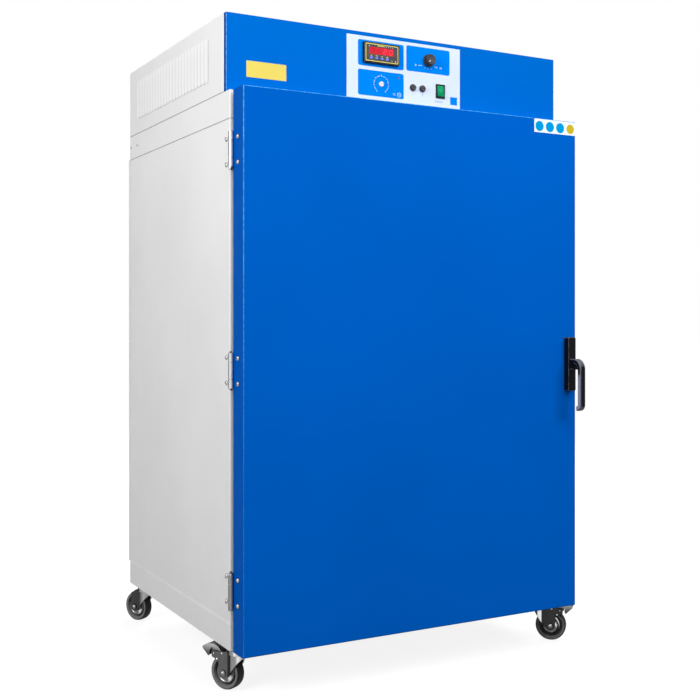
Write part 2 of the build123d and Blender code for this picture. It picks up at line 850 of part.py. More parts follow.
# Inner chamber: box of thin sheet, open to the front
with BuildPart() as inner_chamber:
    with BuildSketch(facing_front(frame_back_y)):
        with Locations((0, chamber_mid_z)):
            Rectangle(chamber_width + 2 * liner_sheet, chamber_height + 2 * liner_sheet)
    extrude(amount=-(chamber_depth + liner_sheet))
    with BuildSketch(facing_front(frame_back_y)):
        with Locations((0, chamber_mid_z)):
            Rectangle(chamber_width, chamber_height)
    extrude(amount=-chamber_depth, mode=Mode.SUBTRACT)
    with BuildSketch(facing_front(chamber_back_y)):
        with Locations((0, fan_z)):
            Circle(shaft_radius + through_clearance)
            for ring_radius in heater_ring_radii:
                for turn in (-1, 1):
                    with Locations(Rotation(0, 0, 90 + turn * heater_gap_angle / 2)):
                        with Locations((ring_radius, 0)):
                            Circle(heater_tube_radius + through_clearance)
        with Locations((flue_x, flue_z)):
            Circle(flue_radius + through_clearance)
    extrude(amount=-liner_sheet, mode=Mode.SUBTRACT)
    with BuildSketch(Plane.XY.offset(chamber_top_z)):
        with Locations(*probe_positions):
            Circle(probe_radius + through_clearance)
    extrude(amount=liner_sheet, mode=Mode.SUBTRACT)
inner_chamber.part.label = "inner_chamber"


# Chamber insulation: wool jacket between the chamber and the outer panels
insulation_width = cabinet_width - 2 * sheet - 2 * insulation_clearance
with BuildPart() as chamber_insulation:
    with BuildSketch(facing_front(frame_back_y)):
        with Locations((0, (plinth_top_z + deck_under_z) / 2)):
            Rectangle(insulation_width, deck_under_z - plinth_top_z)
    extrude(amount=-(insulation_back_y - frame_back_y))
    with BuildSketch(facing_front(frame_back_y)):
        with Locations((0, chamber_mid_z)):
            Rectangle(chamber_width + 2 * liner_sheet, chamber_height + 2 * liner_sheet)
    extrude(amount=-(chamber_depth + liner_sheet), mode=Mode.SUBTRACT)
    with BuildSketch(facing_front(frame_back_y)):
        with Locations((handle_x, door_mid_z)):
            Rectangle(cam_length + 4 * slot_clearance, cam_length + 4 * slot_clearance)
    extrude(amount=-latch_pocket_depth, mode=Mode.SUBTRACT)
    with BuildSketch(facing_front(liner_back_y)):
        with Locations((0, fan_z)):
            Circle(motor_boss_radius + through_clearance)
            for ring_radius in heater_ring_radii:
                for turn in (-1, 1):
                    with Locations(Rotation(0, 0, 90 + turn * heater_gap_angle / 2)):
                        with Locations((ring_radius, 0)):
                            Circle(heater_tube_radius + through_clearance)
        with Locations((flue_x, flue_z)):
            Circle(flue_radius + through_clearance)
    extrude(amount=-back_insulation, mode=Mode.SUBTRACT)
    with BuildSketch(Plane.XY.offset(chamber_top_z + liner_sheet)):
        with Locations(*probe_positions):
            Circle(probe_radius + through_clearance)
    extrude(amount=deck_under_z - chamber_top_z - liner_sheet, mode=Mode.SUBTRACT)
chamber_insulation.part.label = "chamber_insulation"


# Shelf rails: on each side wall two posts that carry a rail at every level
rail_mid_y = frame_back_y + rail_front_inset + rail_size[1] / 2
post_bottom_z = chamber_bottom_z
rail_tops = [chamber_bottom_z + first_rail_level + i * rail_spacing for i in range(rail_count)]
with BuildPart() as shelf_rails:
    for side in (-1, 1):
        wall_x = side * chamber_width / 2
        post_x = wall_x - side * rail_post_size[0] / 2
        rail_x = wall_x - side * (rail_post_size[0] + rail_size[0] / 2)
        with BuildSketch(Plane.XY.offset(post_bottom_z)):
            for end in (-1, 1):
                post_y = rail_mid_y + end * (rail_size[1] - rail_post_size[1]) / 2
                with Locations((post_x, post_y)):
                    Rectangle(*rail_post_size)
        extrude(amount=rail_post_height)
        for top in rail_tops:
            with BuildSketch(Plane.XY.offset(top - rail_size[2])):
                with Locations((rail_x, rail_mid_y)):
                    Rectangle(rail_size[0], rail_size[1])
            extrude(amount=rail_size[2])
shelf_rails.part.label = "shelf_rails"


# Wire shelves: a rod frame with cross wires, one on each pair of rails
shelf_width = chamber_width - 2 * rail_post_size[0] - 2 * shelf_side_clearance
shelf_mid_y = frame_back_y + shelf_front_inset + shelf_depth / 2
rod_span_x = shelf_width - 2 * shelf_rod_radius
rod_span_y = shelf_depth - 2 * shelf_rod_radius
shelf_wire_pitch = rod_span_x / (shelf_wire_count + 1)


def wire_shelf(top_of_rail):
    """One shelf; its frame rods lie on the rails."""
    rod_z = top_of_rail + shelf_rod_radius
    with BuildPart() as shelf:
        with BuildSketch(facing_front(shelf_mid_y)):
            with Locations((0, rod_z)):
                with GridLocations(rod_span_x, 0, 2, 1):
                    Circle(shelf_rod_radius)
        extrude(amount=shelf_depth / 2, both=True)
        with BuildSketch(facing_front(shelf_mid_y)):
            with Locations((0, rod_z)):
                with GridLocations(shelf_wire_pitch, 0, shelf_wire_count, 1):
                    Circle(shelf_wire_radius)
        extrude(amount=rod_span_y / 2, both=True)
        with BuildSketch(Plane.YZ):
            with Locations((shelf_mid_y, rod_z)):
                with GridLocations(rod_span_y, 0, 2, 1):
                    Circle(shelf_rod_radius)
        extrude(amount=shelf_width / 2, both=True)
    return shelf.part


wire_shelves = Compound(children=[wire_shelf(top) for top in rail_tops])
wire_shelves.label = "wire_shelves"


# Air baffle: perforated plate in front of the fan, with flanges back to the chamber's rear wall
baffle_front_y = chamber_back_y - plenum_depth - liner_sheet
with BuildPart() as air_baffle:
    with BuildSketch(facing_front(baffle_front_y)):
        with Locations((0, fan_z)):
            Rectangle(*baffle_size)
    extrude(amount=-(chamber_back_y - baffle_front_y))
    with BuildSketch(facing_front(baffle_front_y + liner_sheet)):
        with Locations((0, fan_z)):
            Rectangle(baffle_size[0] - 2 * liner_sheet, baffle_size[1])
    extrude(amount=-plenum_depth, mode=Mode.SUBTRACT)
    with BuildSketch(facing_front(baffle_front_y)):
        with Locations((0, fan_z)):
            with HexLocations(intake_pitch / 2, intake_rows, intake_rows):
                Circle(intake_hole_radius)
            Circle(intake_radius, mode=Mode.INTERSECT)
            for side in (-1, 1):
                with Locations((side * (baffle_size[0] / 2 - side_slot_inset), 0)):
                    with GridLocations(0, side_slot_pitch, 1, side_slot_count):
                        SlotOverall(side_slot_size[1], side_slot_size[0], rotation=90)
    extrude(amount=-liner_sheet, mode=Mode.SUBTRACT)
air_baffle.part.label = "air_baffle"


# Heating elements: two open rings round the fan whose ends go out through the rear wall
heater_y = chamber_back_y - plenum_depth / 2
heater_end_y = insulation_back_y + heater_terminal_length


def heating_element(ring_radius):
    """One tube bent to an open ring, with a round knuckle and a straight leg at each end."""
    ring_center = Vector(0, heater_y, fan_z)
    half_gap = heater_gap_angle / 2
    start_plane = Plane(
        origin=ring_center,
        x_dir=(sin(radians(half_gap)), 0, cos(radians(half_gap))),
        z_dir=(cos(radians(half_gap)), 0, -sin(radians(half_gap))),
    )
    with BuildPart() as element:
        with BuildSketch(start_plane):
            with Locations((ring_radius, 0)):
                Circle(heater_tube_radius)
        revolve(axis=Axis(ring_center, (0, 1, 0)), revolution_arc=360 - heater_gap_angle)
        for turn in (-1, 1):
            end = ring_center + Vector(
                turn * ring_radius * sin(radians(half_gap)),
                0,
                ring_radius * cos(radians(half_gap)),
            )
            with Locations(end):
                Sphere(heater_knuckle_radius)
            with BuildSketch(Plane(origin=end, z_dir=(0, 1, 0))):
                Circle(heater_tube_radius)
            extrude(amount=heater_end_y - heater_y)
    return element.part


heating_elements = Compound(children=[heating_element(radius) for radius in heater_ring_radii])
heating_elements.label = "heating_elements"


# Fan motor: boss through the insulation, flange on its back and the round body behind
shaft_end_y = insulation_back_y + shaft_depth_in_motor
with BuildPart() as fan_motor:
    with BuildSketch(facing_front(liner_back_y)):
        with Locations((0, fan_z)):
            Circle(motor_boss_radius)
    extrude(amount=-back_insulation)
    with BuildSketch(facing_front(insulation_back_y)):
        with Locations((0, fan_z)):
            RectangleRounded(motor_flange_size, motor_flange_size, motor_boss_radius)
    extrude(amount=-motor_flange_thickness)
    with BuildSketch(facing_front(insulation_back_y)):
        with Locations((0, fan_z)):
            Circle(motor_radius)
    extrude(amount=-motor_length)
    fillet(fan_motor.faces().sort_by(Axis.Y)[-1].edges(), radius=motor_radius / 10)
    with BuildSketch(facing_front(liner_back_y)):
        with Locations((0, fan_z)):
            Circle(shaft_radius + shaft_clearance)
    extrude(amount=-(shaft_end_y + through_clearance - liner_back_y), mode=Mode.SUBTRACT)
fan_motor.part.label = "fan_motor"


# Fan impeller: back plate with radial blades, hub and the shaft that runs in the motor
impeller_back_y = chamber_back_y - impeller_back_gap
with BuildPart() as fan_impeller:
    with BuildSketch(facing_front(impeller_back_y)):
        with Locations((0, fan_z)):
            Circle(impeller_radius)
    extrude(amount=impeller_plate)
    with BuildSketch(facing_front(impeller_back_y - impeller_plate)):
        with Locations((0, fan_z)):
            with PolarLocations(impeller_radius - blade_size[0] / 2, blade_count):
                Rectangle(*blade_size)
    extrude(amount=impeller_depth - impeller_plate)
    with BuildSketch(facing_front(impeller_back_y)):
        with Locations((0, fan_z)):
            Circle(hub_size[0])
    extrude(amount=hub_size[1])
    with BuildSketch(facing_front(impeller_back_y)):
        with Locations((0, fan_z)):
            Circle(shaft_radius)
    extrude(amount=-(shaft_end_y - impeller_back_y))
fan_impeller.part.label = "fan_impeller"


# Temperature probes: two rods through the roof of the chamber, each with a nut on the deck
with BuildPart() as temperature_probes:
    with BuildSketch(Plane.XY.offset(chamber_top_z - probe_depth_in_chamber)):
        with Locations(*probe_positions):
            Circle(probe_radius)
    extrude(amount=band_top_z - chamber_top_z + probe_depth_in_chamber)
    with BuildSketch(Plane.XY.offset(band_top_z)):
        with Locations(*probe_positions):
            RegularPolygon(probe_nut_radius, 6)
    extrude(amount=probe_nut_height)
temperature_probes.part.label = "temperature_probes"


# Exhaust flue: pipe from the chamber's rear wall out through the rear cover
flue_end_y = rear_outer_y + flue_stub
with BuildPart() as exhaust_flue:
    with BuildSketch(facing_front(chamber_back_y)):
        with Locations((flue_x, flue_z)):
            Circle(flue_radius)
    extrude(amount=-(flue_end_y - chamber_back_y))
    with BuildSketch(facing_front(rear_outer_y)):
        with Locations((flue_x, flue_z)):
            Circle(flue_flange_radius)
    extrude(amount=-flue_flange_thickness)
    with BuildSketch(facing_front(chamber_back_y)):
        with Locations((flue_x, flue_z)):
            Circle(flue_radius - flue_wall)
    extrude(amount=-(flue_end_y - chamber_back_y), mode=Mode.SUBTRACT)
exhaust_flue.part.label = "exhaust_flue"


# Cable gland: nut inside the control box, thread through its rear wall, domed nut outside
with BuildPart() as cable_gland:
    with BuildSketch(facing_front(carcass_back_y - sheet)):
        with Locations((gland_x, gland_z)):
            RegularPolygon(gland_nut_radius, 6)
    extrude(amount=gland_nut_height)
    with BuildSketch(facing_front(carcass_back_y - sheet)):
        with Locations((gland_x, gland_z)):
            Circle(gland_thread_radius)
    extrude(amount=-sheet)
    with BuildSketch(facing_front(carcass_back_y)):
        with Locations((gland_x, gland_z)):
            RegularPolygon(gland_nut_radius, 6)
    extrude(amount=-gland_nut_height)
    with BuildSketch(facing_front(carcass_back_y + gland_nut_height)):
        with Locations((gland_x, gland_z)):
            Circle(gland_thread_radius)
    extrude(amount=gland_nut_height - gland_dome_length)
    fillet(cable_gland.faces().sort_by(Axis.Y)[-1].edges(), radius=gland_bore_radius / 2)
    with BuildSketch(facing_front(carcass_back_y + gland_dome_length)):
        with Locations((gland_x, gland_z)):
            Circle(gland_bore_radius)
    extrude(amount=gland_dome_length + sheet + gland_nut_height, mode=Mode.SUBTRACT)
cable_gland.part.label = "cable_gland"


# Door skin: folded tray, open to the back
with BuildPart() as door_hollow:
    with BuildSketch(facing_front(door_front_y + sheet)):
        with Locations((0, door_mid_z)):
            Rectangle(door_width - 2 * sheet, door_height - 2 * sheet)
    extrude(amount=sheet - door_depth)
    fillet(door_hollow.faces().sort_by(Axis.Y)[0].edges(), radius=door_edge_radius - sheet)

with BuildPart() as door_skin:
    with BuildSketch(facing_front(door_front_y)):
        with Locations((0, door_mid_z)):
            Rectangle(door_width, door_height)
    extrude(amount=-door_depth)
    fillet(door_skin.faces().sort_by(Axis.Y)[0].edges(), radius=door_edge_radius)
    add(door_hollow.part, mode=Mode.SUBTRACT)
    with BuildSketch(facing_front(door_front_y)):
        with Locations((handle_x, door_mid_z)):
            Circle(spindle_hole_radius)
    extrude(amount=-sheet, mode=Mode.SUBTRACT)
    with BuildSketch(Plane.YZ.offset(-door_side_x)):
        with Locations(*hinge_screw_side("door")):
            Circle(screw_hole_radius)
    extrude(amount=sheet, mode=Mode.SUBTRACT)
door_skin.part.label = "door_skin"


# Door liner: thin plate that closes the back, with a raised pan inside the gasket
gasket_inner_size = (chamber_width + 2 * gasket_inset, chamber_height + 2 * gasket_inset)
pan_size = (gasket_inner_size[0] - 2 * pan_margin, gasket_inner_size[1] - 2 * pan_margin)
liner_front_y = door_back_y - liner_sheet
with BuildPart() as door_liner:
    with BuildSketch(facing_front(liner_front_y)):
        with Locations((0, door_mid_z)):
            Rectangle(door_width - 2 * sheet, door_height - 2 * sheet)
    extrude(amount=-liner_sheet)
    with BuildSketch(facing_front(door_back_y)):
        with Locations((0, chamber_mid_z)):
            RectangleRounded(*pan_size, gasket_corner)
    extrude(amount=-pan_rise)
    with BuildSketch(facing_front(liner_front_y)):
        with Locations((0, chamber_mid_z)):
            RectangleRounded(
                pan_size[0] - 2 * liner_sheet,
                pan_size[1] - 2 * liner_sheet,
                gasket_corner - liner_sheet,
            )
    extrude(amount=-pan_rise, mode=Mode.SUBTRACT)
    with BuildSketch(facing_front(liner_front_y)):
        with Locations((handle_x, door_mid_z)):
            Circle(spindle_hole_radius)
        with Locations(*[(door_leaf_x, mid_z) for mid_z in hinge_heights]):
            Rectangle(leaf_slot_width, hinge_length + 2 * leaf_slot_clearance)
    extrude(amount=-liner_sheet, mode=Mode.SUBTRACT)
door_liner.part.label = "door_liner"


# Door insulation: wool block that fills the door between skin and liner
with BuildPart() as door_insulation:
    with BuildSketch(facing_front(door_front_y + sheet)):
        with Locations((0, door_mid_z)):
            Rectangle(
                door_width - 2 * sheet - 2 * insulation_clearance,
                door_height - 2 * sheet - 2 * insulation_clearance,
            )
        with Locations((handle_x, door_mid_z)):
            Circle(spindle_hole_radius, mode=Mode.SUBTRACT)
    extrude(amount=-(door_depth - sheet - liner_sheet))
door_insulation.part.label = "door_insulation"


# Door gasket: rounded rubber frame on the liner that meets the front frame
gasket_depth = frame_front_y - door_back_y - seal_clearance
with BuildPart() as door_gasket:
    with BuildSketch(facing_front(door_back_y)):
        with Locations((0, chamber_mid_z)):
            RectangleRounded(
                gasket_inner_size[0] + 2 * gasket_width,
                gasket_inner_size[1] + 2 * gasket_width,
                gasket_corner + gasket_width,
            )
            RectangleRounded(*gasket_inner_size, gasket_corner, mode=Mode.SUBTRACT)
    extrude(amount=-gasket_depth)
    fillet(door_gasket.faces().sort_by(Axis.Y)[-1].edges(), radius=gasket_width / 4)
door_gasket.part.label = "door_gasket"


# Hinges: the barrels stand outside, the leaves lie hidden behind the side sheets
def knuckle(height_z, length):
    """Round barrel section on the hinge axis, from one height up."""
    with BuildSketch(Plane.XY.offset(height_z)) as section:
        with Locations((hinge_x, hinge_y)):
            Circle(barrel_radius)
    return extrude(section.sketch, amount=length, mode=Mode.PRIVATE)


def leaf_plate(middle_x, front_y, back_y, mid_z, height):
    """Upright flat plate between two depths, centred on a height."""
    with BuildSketch(Plane.YZ.offset(middle_x)) as section:
        with Locations(((front_y + back_y) / 2, mid_z)):
            Rectangle(back_y - front_y, height)
    return extrude(section.sketch, amount=leaf_thickness / 2, both=True, mode=Mode.PRIVATE)


def pin_bore(mid_z):
    """Bore for the hinge pin through all knuckles."""
    with BuildSketch(Plane.XY.offset(mid_z - hinge_length / 2)) as section:
        with Locations((hinge_x, hinge_y)):
            Circle(pin_radius + pin_clearance)
    return extrude(section.sketch, amount=hinge_length, mode=Mode.PRIVATE)


def leaf_screw_holes(middle_x, reach, mid_z):
    """The two screw holes of one leaf."""
    with BuildSketch(Plane.YZ.offset(middle_x)) as section:
        with Locations((hinge_y + reach, mid_z)):
            with GridLocations(0, 2 * screw_offset_z, 1, 2):
                Circle(screw_hole_radius)
    return extrude(section.sketch, amount=leaf_thickness, both=True, mode=Mode.PRIVATE)


def cabinet_leaf(mid_z):
    """Leaf in the cabinet's side; its two outer knuckles reach out through slots in the bend."""
    inner_front_y = frame_front_y + corner_radius
    with BuildPart() as leaf:
        for end in (-1, 1):
            end_z = mid_z + end * (hinge_length - cabinet_knuckle_length) / 2
            add(leaf_plate(cabinet_leaf_x, hinge_y, inner_front_y, end_z, cabinet_knuckle_length))
            add(knuckle(end_z - cabinet_knuckle_length / 2, cabinet_knuckle_length))
        add(leaf_plate(cabinet_leaf_x, inner_front_y, hinge_y + leaf_reach, mid_z, hinge_length))
        add(leaf_screw_holes(cabinet_leaf_x, screw_reach, mid_z), mode=Mode.SUBTRACT)
        add(pin_bore(mid_z), mode=Mode.SUBTRACT)
    return leaf.part


def door_leaf(mid_z):
    """Leaf in the door's side; its web passes behind the skin's edge to the middle knuckle."""
    web_end_x = door_leaf_x + leaf_thickness / 2
    with BuildPart() as leaf:
        add(leaf_plate(door_leaf_x, hinge_y - leaf_reach, hinge_y, mid_z, hinge_length))
        with BuildSketch(Plane.XY.offset(mid_z)):
            with Locations(((hinge_x + web_end_x) / 2, hinge_y + leaf_thickness / 2)):
                Rectangle(web_end_x - hinge_x, leaf_thickness)
        extrude(amount=door_knuckle_length / 2, both=True)
        add(knuckle(mid_z - door_knuckle_length / 2, door_knuckle_length))
        add(leaf_screw_holes(door_leaf_x, -screw_reach, mid_z), mode=Mode.SUBTRACT)
        add(pin_bore(mid_z), mode=Mode.SUBTRACT)
    return leaf.part


hinge_leaves_cabinet = Compound(children=[cabinet_leaf(z) for z in hinge_heights])
hinge_leaves_cabinet.label = "hinge_leaves_cabinet"
hinge_leaves_door = Compound(children=[door_leaf(z) for z in hinge_heights])
hinge_leaves_door.label = "hinge_leaves_door"

with BuildPart() as hinge_pins:
    for mid_z in hinge_heights:
        with BuildSketch(Plane.XY.offset(mid_z - hinge_length / 2 - pin_overhang)):
            with Locations((hinge_x, hinge_y)):
                Circle(pin_radius)
        extrude(amount=hinge_length + 2 * pin_overhang)
    chamfer(hinge_pins.faces().filter_by(Axis.Z).edges(), length=pin_radius / 4)
hinge_pins.part.label = "hinge_pins"


# Screws: domed heads on the hinge leaves and on the band, shanks through the sheet behind
def screws(points, seat_x, direction, grip, head):
    """Screws along X whose heads sit at seat_x; direction is where the heads point."""
    head_radius, head_height = head
    seat = Plane.YZ.offset(seat_x)
    with BuildPart() as group:
        with BuildSketch(seat):
            with Locations(*points):
                Circle(head_radius)
        extrude(amount=direction * head_height)
        outer = group.faces().filter_by(Axis.X).group_by(Axis.X)[-1 if direction > 0 else 0]
        fillet(outer.edges(), radius=head_height * 0.8)
        with BuildSketch(seat):
            with Locations(*points):
                Circle(screw_radius)
        extrude(amount=-direction * grip)
    return group.part


leaf_grip = sheet + leaf_thickness
cabinet_screws = Compound(
    children=[
        screws(hinge_screw_side("cabinet"), -side_x, -1, leaf_grip, hinge_screw_head),
        screws(band_screw_points, -side_x, -1, sheet, band_screw_head),
        screws(band_screw_points, side_x, 1, sheet, band_screw_head),
    ]
)
cabinet_screws.label = "cabinet_screws"
hinge_screws_door = screws(hinge_screw_side("door"), -door_side_x, -1, leaf_grip, hinge_screw_head)
hinge_screws_door.label = "hinge_screws_door"


# Handle base: rounded plate on the door with the bearing for the latch spindle
with BuildPart() as handle_base:
    with BuildSketch(facing_front(door_front_y)):
        with Locations((handle_x, door_mid_z)):
            RectangleRounded(escutcheon_width, escutcheon_height, corner_radius)
    extrude(amount=escutcheon_depth)
    fillet(handle_base.faces().sort_by(Axis.Y)[0].edges(), radius=sheet)
    with BuildSketch(facing_front(door_front_y)):
        with Locations((handle_x, door_mid_z)):
            Circle(spindle_radius + spindle_clearance)
    extrude(amount=escutcheon_depth, mode=Mode.SUBTRACT)
handle_base.part.label = "handle_base"


# Handle lever: deep arm to the front, grip hanging down, end hooked back to the door
lever_back_y = handle_front_y - lever_gap
grip_y = handle_front_y - lever_reach + lever_thickness / 2
lever_end_z = door_mid_z - lever_drop
lever_top_z = door_mid_z + lever_arm_height / 2
with BuildPart() as handle_lever:
    with BuildSketch(facing_front(lever_back_y)):
        with Locations((handle_x, door_mid_z)):
            RectangleRounded(lever_width, lever_arm_height, corner_radius)
    extrude(amount=lever_arm_length)
    with BuildLine(Plane.YZ.offset(handle_x)) as lever_path:
        FilletPolyline(
            (lever_back_y, lever_top_z - lever_thickness / 2),
            (grip_y, lever_top_z - lever_thickness / 2),
            (grip_y, lever_end_z + lever_thickness / 2),
            (grip_y + lever_hook + lever_foot_radius, lever_end_z + lever_thickness / 2),
            radius=[lever_bend_radius, lever_foot_radius],
        )
    with BuildSketch(facing_front(lever_back_y)):
        with Locations((handle_x, lever_top_z - lever_thickness / 2)):
            RectangleRounded(lever_width, lever_thickness, corner_radius)
    sweep(path=lever_path.wire(), transition=Transition.ROUND)
    hook_face = handle_lever.faces().filter_by(Plane.XZ).sort_by(Axis.Z)[0]
    fillet(hook_face.edges(), radius=lever_end_rounding)
    with BuildSketch(facing_front(lever_back_y)):
        with Locations((handle_x, door_mid_z)):
            Circle(spindle_radius)
    extrude(amount=lever_thickness, mode=Mode.SUBTRACT)
handle_lever.part.label = "handle_lever"


# Latch spindle: rod from the lever through the door, with the cross bar that hooks behind the slot
cam_front_y = frame_back_y + seal_clearance
with BuildPart() as latch_spindle:
    with BuildSketch(facing_front(lever_back_y - lever_thickness)):
        with Locations((handle_x, door_mid_z)):
            Circle(spindle_radius)
    extrude(amount=-(cam_front_y + cam_thickness - lever_back_y + lever_thickness))
    with BuildSketch(facing_front(cam_front_y)):
        with Locations((handle_x, door_mid_z)):
            RectangleRounded(cam_length, cam_width, cam_width / 3)
    extrude(amount=-cam_thickness)
latch_spindle.part.label = "latch_spindle"


# Casters: each swivels about a kingpin in its plate; the wheel trails behind it
def swivel_plane(name):
    """Floor plane under a caster's kingpin; its x points to where the wheel trails."""
    x, y, yaw, _ = casters[name]
    return Plane(origin=(x, y, 0), x_dir=(cos(radians(yaw)), sin(radians(yaw)), 0), z_dir=(0, 0, 1))


def flank_plane(swivel):
    """Upright plane through the kingpin, square to the wheel's axle; local y is height."""
    return Plane(origin=swivel.origin, x_dir=swivel.x_dir, z_dir=-swivel.y_dir)


def axle_plane(swivel):
    """Upright plane through the wheel's middle that holds its axle; local x is along the axle."""
    center = swivel.origin + swivel.x_dir * caster_trail + Vector(0, 0, wheel_radius)
    return Plane(origin=center, x_dir=swivel.y_dir, z_dir=swivel.x_dir)


plate_under_z = ground_clearance - plate_thickness
pin_head_top_z = crown_z - fork_sheet - turn_clearance
with BuildPart() as caster_plates:
    for x, y, _, _ in casters.values():
        with BuildSketch(Plane.XY.offset(plate_under_z)):
            with Locations((x, y)):
                RectangleRounded(plate_width, plate_length, corner_radius)
        extrude(amount=plate_thickness)
        with BuildSketch(Plane.XY.offset(pin_head_top_z)):
            with Locations((x, y)):
                Circle(kingpin_radius)
        extrude(amount=plate_under_z - pin_head_top_z)
        with BuildSketch(Plane.XY.offset(pin_head_top_z - kingpin_head_height)):
            with Locations((x, y)):
                Circle(kingpin_head_radius)
        extrude(amount=kingpin_head_height)
caster_plates.part.label = "caster_plates"

leg_outer = fork_inner_width / 2 + fork_sheet
leg_front = -fork_nose_reach
leg_back = caster_trail + leg_foot_radius
nose_start = leg_front + fork_nose_length
leg_shoulder_z = crown_z - leg_shoulder_drop
braked_leg_back = pedal_pivot[0] + lug_back_margin
braked_leg_top_z = pedal_pivot[1] + lug_top_margin
braked_leg_low_z = pedal_pivot[1] - lug_bottom_margin


def caster_fork(name):
    """Pressed fork: two legs that curve in to a round nose, a crown plate, the race cup and the axle."""
    swivel = swivel_plane(name)
    flank = flank_plane(swivel)
    braked = casters[name][3]
    back = braked_leg_back if braked else leg_back
    with BuildPart() as fork:
        with BuildSketch(swivel.offset(wheel_radius - leg_foot_radius)):
            with Locations(((nose_start + back) / 2, 0)):
                Rectangle(back - nose_start, 2 * leg_outer)
            with Locations((nose_start, 0)):
                Ellipse(fork_nose_length, leg_outer)
            with Locations(((nose_start + back) / 2, 0)):
                Rectangle(back - nose_start, fork_inner_width, mode=Mode.SUBTRACT)
            with Locations((nose_start, 0)):
                Ellipse(fork_nose_length - fork_sheet, fork_inner_width / 2, mode=Mode.SUBTRACT)
        extrude(amount=crown_z - wheel_radius + leg_foot_radius)
        with BuildSketch(flank):
            with BuildLine():
                if braked:
                    Polyline(
                        (leg_front, crown_z),
                        (leg_front, leg_shoulder_z),
                        (caster_trail - leg_foot_radius, wheel_radius - leg_foot_radius / 2),
                        (caster_trail + leg_foot_radius, wheel_radius),
                        (leg_back, braked_leg_low_z - lug_bottom_margin),
                        (back, braked_leg_low_z),
                        (back, braked_leg_top_z),
                        (race_radius, crown_z),
                        close=True,
                    )
                else:
                    Polyline(
                        (leg_front, crown_z),
                        (leg_front, leg_shoulder_z),
                        (caster_trail - leg_foot_radius, wheel_radius - leg_foot_radius / 2),
                        (caster_trail + leg_foot_radius, wheel_radius),
                        (leg_back, leg_shoulder_z),
                        (race_radius, crown_z),
                        close=True,
                    )
            make_face()
            with Locations((caster_trail, wheel_radius)):
                Circle(leg_foot_radius)
        extrude(amount=leg_outer, both=True, mode=Mode.INTERSECT)
        with BuildSketch(swivel.offset(crown_z - fork_sheet)):
            Circle(race_radius)
            with Locations((race_radius / 2, 0)):
                Rectangle(race_radius, fork_inner_width)
        extrude(amount=fork_sheet)
        with BuildSketch(swivel.offset(crown_z)):
            Circle(race_radius)
        extrude(amount=plate_under_z - turn_clearance - crown_z)
        fillet(fork.faces().sort_by(Axis.Z)[-1].edges(), radius=fork_sheet)
        with BuildSketch(swivel.offset(crown_z - fork_sheet)):
            Circle(kingpin_radius + axle_clearance)
        extrude(amount=ground_clearance - crown_z, mode=Mode.SUBTRACT)
        with BuildSketch(flank):
            with Locations((caster_trail, wheel_radius)):
                Circle(axle_radius)
        extrude(amount=leg_outer, both=True)
        for side in (-1, 1):
            with BuildSketch(flank.offset(side * leg_outer)):
                with Locations((caster_trail, wheel_radius)):
                    Circle(axle_head_radius)
            extrude(amount=side * axle_head_height)
        if braked:
            with BuildSketch(flank):
                with Locations(pedal_pivot):
                    Circle(pedal_pin_radius)
            extrude(amount=leg_outer + pedal_pin_overhang, both=True)
    return fork.part


def caster_rim(name):
    """Pressed wheel centre: hub, web and the ring that the tyre sits on."""
    section = axle_plane(swivel_plane(name))
    bore = axle_radius + axle_clearance
    hub_half = fork_inner_width / 2 - turn_clearance
    with BuildPart() as rim:
        with BuildSketch(section):
            with Locations((0, (bore + hub_radius) / 2)):
                Rectangle(2 * hub_half, hub_radius - bore)
            with Locations((0, (bore + rim_radius) / 2)):
                Rectangle(web_width, rim_radius - bore)
            with Locations((0, rim_radius - fork_sheet / 2)):
                Rectangle(rim_width, fork_sheet)
        revolve(axis=Axis(section.origin, section.x_dir))
    return rim.part


def caster_tyre(name):
    """Rubber tyre with round shoulders on the wheel centre."""
    section = axle_plane(swivel_plane(name))
    tread = wheel_radius - rim_radius
    with BuildPart() as tyre:
        with BuildSketch(section) as profile:
            with Locations((0, rim_radius + tread / 2)):
                Rectangle(tyre_width, tread)
            fillet(profile.vertices().group_by(Axis.Y)[-1], radius=tread / 3)
        revolve(axis=Axis(section.origin, section.x_dir))
    return tyre.part


def brake_pedal(name):
    """Pedal on the fork's pin: a lug between the legs and a wide hollow paddle over the wheel."""
    flank = flank_plane(swivel_plane(name))
    top, (crest, tip), under, hollow, lug = [
        [(pedal_pivot[0] + back, pedal_pivot[1] + up) for back, up in line]
        for line in (
            pedal_top_line, (pedal_crest, pedal_tip), pedal_under_line, pedal_hollow_line, pedal_lug_line
        )
    ]
    with BuildPart() as pedal:
        with BuildSketch(flank):
            with BuildLine():
                Line(*top)
                ThreePointArc(top[-1], crest, tip)
                Polyline(tip, *under, top[0])
            make_face()
        extrude(amount=pedal_width / 2, both=True)
        with BuildSketch(flank):
            with BuildLine():
                Polyline(*hollow, close=True)
            make_face()
        extrude(amount=pedal_width / 2 - pedal_sheet, both=True, mode=Mode.SUBTRACT)
        with BuildSketch(flank):
            with BuildLine():
                Polyline(*lug, close=True)
            make_face()
            with Locations(pedal_pivot):
                Circle(pedal_hub_radius)
        extrude(amount=pedal_lug_width / 2, both=True)
        with BuildSketch(flank):
            with Locations(pedal_pivot):
                Circle(pedal_pin_radius + axle_clearance)
        extrude(amount=pedal_width / 2, both=True, mode=Mode.SUBTRACT)
    return pedal.part


caster_parts = []
for name, (_, _, _, braked) in casters.items():
    pieces = {
        "caster_fork": caster_fork(name),
        "caster_rim": caster_rim(name),
        "caster_tyre": caster_tyre(name),
    }
    if braked:
        pieces["brake_pedal"] = brake_pedal(name)
    for kind, piece in pieces.items():
        piece.label = f"{kind}_{name}"
        caster_parts.append(piece)


